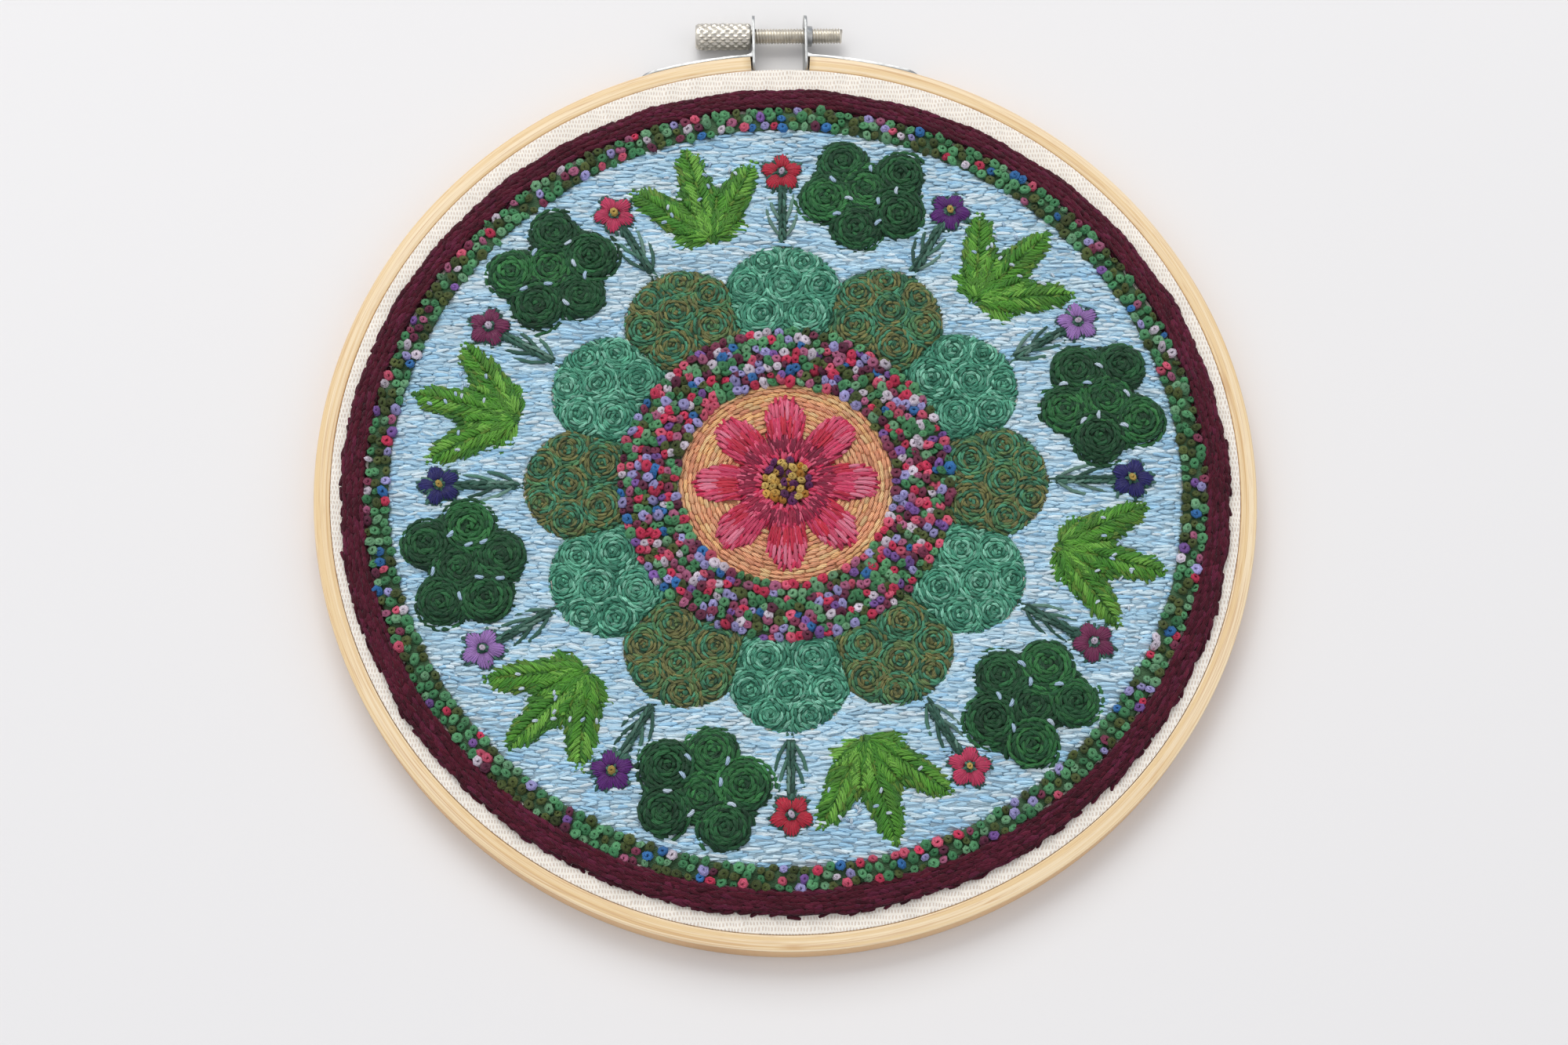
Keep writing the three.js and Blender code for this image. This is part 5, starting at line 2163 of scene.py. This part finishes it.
@dataclass
class Backs:
    """The threads' short travels on the back of the work."""

    strokes: int = 2900
    jumps: int = 90
    reach: float = 95.4
    width: float = 0.95
    height: float = 0.42
    seed: int = 83
    flower_out: float = 20.0
    disc_out: float = 24.3
    band_out: float = 37.0
    scallop_out: float = 57.0
    ground_out: float = 88.5
    edge_out: float = 93.4

    def colours(self, places: Array, rng: np.random.Generator) -> Array:
        """Picks each stroke's colour from the design above it.

        Args:
            places: Rows of x and y in the flat design.
            rng: Source of all that is uneven.

        Returns:
            A row of linear light for each place.
        """
        reach = np.hypot(places[:, 0], places[:, 1])
        outs = (
            self.flower_out, self.disc_out, self.band_out, self.scallop_out, self.ground_out, self.edge_out
        )
        ring = np.searchsorted(outs, reach, side="right")
        covered = PLAN.under_motif(places, 0.0)
        bands = (
            (ring == 0, "d8324a 9e1f45 ee6d8b"),
            (ring == 1, "c98a5a b5734f"),
            (ring == 2, "57a06c e85a7c 4a5526 8055a8"),
            (ring == 3, "4a9880 5fae93 80864f"),
            ((ring == 4) & ~covered, "a8ccef 9ac3ea cfe4f9"),
            ((ring == 4) & covered, "25653c 5fa934 1d5a35"),
            (ring == 5, "57a06c 4a5526 d8325c"),
            (ring == 6, "5a1b2f 692544"),
        )
        dyes = np.zeros((len(places), 3))
        for inside, colours in bands:
            shades = palette(colours)
            dyes[inside] = shades[rng.integers(0, len(shades), inside.sum())]
        return dyes * (1 + rng.normal(0, 0.08, (len(places), 1)))

    def dress(self) -> None:
        """Sews the strokes and a few long jumps between motifs."""
        needle = Needle(BackOfCloth(), self.seed)
        for count, shortest, longest in ((self.strokes, 2.2, 5.4), (self.jumps, 7.0, 15.0)):
            reach = self.reach * np.sqrt(needle.rng.uniform(0, 1, count))
            angle = needle.rng.uniform(0, FULL_TURN, count)
            flat = unit(angle) * reach[:, None]
            length = needle.rng.uniform(shortest, longest, count)
            on_ground = (reach > self.scallop_out) & (reach < self.ground_out)
            level = on_ground & (needle.rng.random(count) < 0.8)
            lean = np.where(level, 0.0, angle + math.pi / 2) + needle.rng.normal(0, 0.35, count)
            half = unit(lean) * length[:, None] / 2
            inside = (np.hypot(*(flat - half).T) < self.reach) & (np.hypot(*(flat + half).T) < self.reach)
            flat, half, count = flat[inside], half[inside], int(inside.sum())
            near = self.colours(flat, needle.rng)
            sag = needle.rng.uniform(-0.75, -0.25, count)
            bow = needle.rng.normal(0, 0.2, count)
            starts, ends = PLAN.onto(flat - half), PLAN.onto(flat + half)
            needle.sew(
                starts, ends, self.width, self.height, near, None, bow, sag, dive=-0.55, shape=needle.flat
            )
        needle.finish("thread_backs", "knot_thread", ThreadFinish("backs_floss"), [])


# Camera and studio


@dataclass(frozen=True)
class Viewpoint:
    """Where the photograph was taken from, round the hoop's middle."""

    distance: float = 618.526
    tilt: float = 18.222
    azimuth: float = -3.136
    roll: float = -0.879
    pan: float = -0.037
    nod: float = 0.656
    lens: float = 63.0

    def matrix(self) -> Matrix:
        """Works out the camera's place and turn."""
        tilt, azimuth, roll, pan, nod = (
            math.radians(v) for v in (self.tilt, self.azimuth, self.roll, self.pan, self.nod)
        )
        back = Vector(
            (math.sin(azimuth) * math.sin(tilt), -math.cos(azimuth) * math.sin(tilt), math.cos(tilt))
        )
        right = Vector((0, 1, 0)).cross(back).normalized()
        up = back.cross(right)
        level = right * math.cos(roll) + up * math.sin(roll)
        upright = up * math.cos(roll) - right * math.sin(roll)
        x_axis = level * math.cos(pan) + back * math.sin(pan)
        facing = back * math.cos(pan) - level * math.sin(pan)
        y_axis = upright * math.cos(nod) - facing * math.sin(nod)
        z_axis = upright * math.sin(nod) + facing * math.cos(nod)
        eye = (Vector((0, Hoop.middle_y, 0)) + back * self.distance) * MM
        turn = Matrix((x_axis, y_axis, z_axis)).transposed().to_4x4()
        return Matrix.Translation(eye) @ turn

    def shoot(self) -> None:
        """Sets up the camera."""
        data = bpy.data.cameras.new("photographer")
        data.lens = self.lens
        data.sensor_width = 36.0
        data.clip_start = 0.01
        data.clip_end = 50.0
        camera = bpy.data.objects.new("photographer", data)
        bpy.context.scene.collection.objects.link(camera)
        camera.matrix_world = self.matrix()
        bpy.context.scene.camera = camera


@dataclass(frozen=True)
class Lamp:
    """A square soft light that faces the hoop: its place and side in metres, its power in watts."""

    name: str
    at: tuple[float, float, float]
    size: float
    power: float
    colour: tuple[float, float, float]

    def hang(self) -> None:
        """Makes the light and turns it to the hoop."""
        data = bpy.data.lights.new(self.name, "AREA")
        data.size = self.size
        data.energy = self.power
        data.color = self.colour
        lamp = bpy.data.objects.new(self.name, data)
        bpy.context.scene.collection.objects.link(lamp)
        lamp.location = self.at
        lamp.rotation_mode = "QUATERNION"
        lamp.rotation_quaternion = (-Vector(self.at)).to_track_quat("-Z", "Y")


@dataclass(frozen=True)
class Studio:
    """A pale table under soft light from above and behind."""

    table: str = "ecebea"
    table_light: str = "efeeed"
    table_half: float = 3.0
    low_sky: tuple[float, float, float, float] = (0.62, 0.68, 0.88, 1)
    high_sky: tuple[float, float, float, float] = (0.94, 0.95, 1.0, 1)
    sky_strength: float = 0.63
    lamps: tuple[Lamp, ...] = (
        Lamp("window", (-0.22, 1.25, 1.45), 1.3, 17.3, (1.0, 0.99, 0.97)),
        Lamp("side_fill", (-1.2, 0.3, 1.35), 1.4, 4.0, (1.0, 0.975, 0.94)),
        Lamp("wall_glow", (1.3, -0.2, 1.3), 1.4, 2.8, (1.0, 0.93, 0.82)),
    )

    def floor(self) -> None:
        """Lays the table top."""
        shape = bmesh.new()
        bmesh.ops.create_grid(shape, x_segments=1, y_segments=1, size=self.table_half)
        obj = from_shape("table_top", shape, 1.0)
        material, graph, shader = new_material("matt_table")
        tone = graph.noise(graph.place(), 3.0, 2.0)
        graph.feed(shader.inputs["Base Color"], graph.blend(tone, rgba(self.table), rgba(self.table_light)))
        shader.inputs["Roughness"].default_value = 0.8
        shader.inputs["Specular IOR Level"].default_value = 0.2
        obj.data.materials.append(material)

    def sky(self) -> None:
        """Lights the room evenly, dimmer towards the floor."""
        world = bpy.data.worlds.new("room")
        bpy.context.scene.world = world
        world.use_nodes = True
        graph = Graph(world.node_tree)
        background = world.node_tree.nodes["Background"]
        direction = graph.node("ShaderNodeTexCoord").outputs["Generated"]
        height = graph.split(direction)[2]
        share = graph.between(height, -0.1, 0.6, 0.0, 1.0)
        graph.feed(background.inputs["Color"], graph.blend(share, self.low_sky, self.high_sky))
        background.inputs["Strength"].default_value = self.sky_strength

    def light(self) -> None:
        """Sets the table, the lamps and the room."""
        self.floor()
        self.sky()
        for lamp in self.lamps:
            lamp.hang()
        scene = bpy.context.scene
        scene.view_settings.view_transform = "Standard"
        scene.view_settings.look = "None"


def main() -> None:
    """Builds the hoop, its cloth, its hardware and its needlework in order."""
    logging.basicConfig(level=logging.INFO, format="%(name)s: %(message)s", force=True)
    Viewpoint().shoot()
    Studio().light()
    Hoop().dress()
    TautCloth().dress()
    Brackets().dress()
    ThumbScrew().dress()
    Border().dress()
    Ground().dress()
    Scallops().dress()
    Whorls().dress()
    Ferns().dress()
    Flowers().dress()
    Centre().dress()
    dress_knot_bands()
    Backs().dress()


if __name__ == "__main__":
    main()
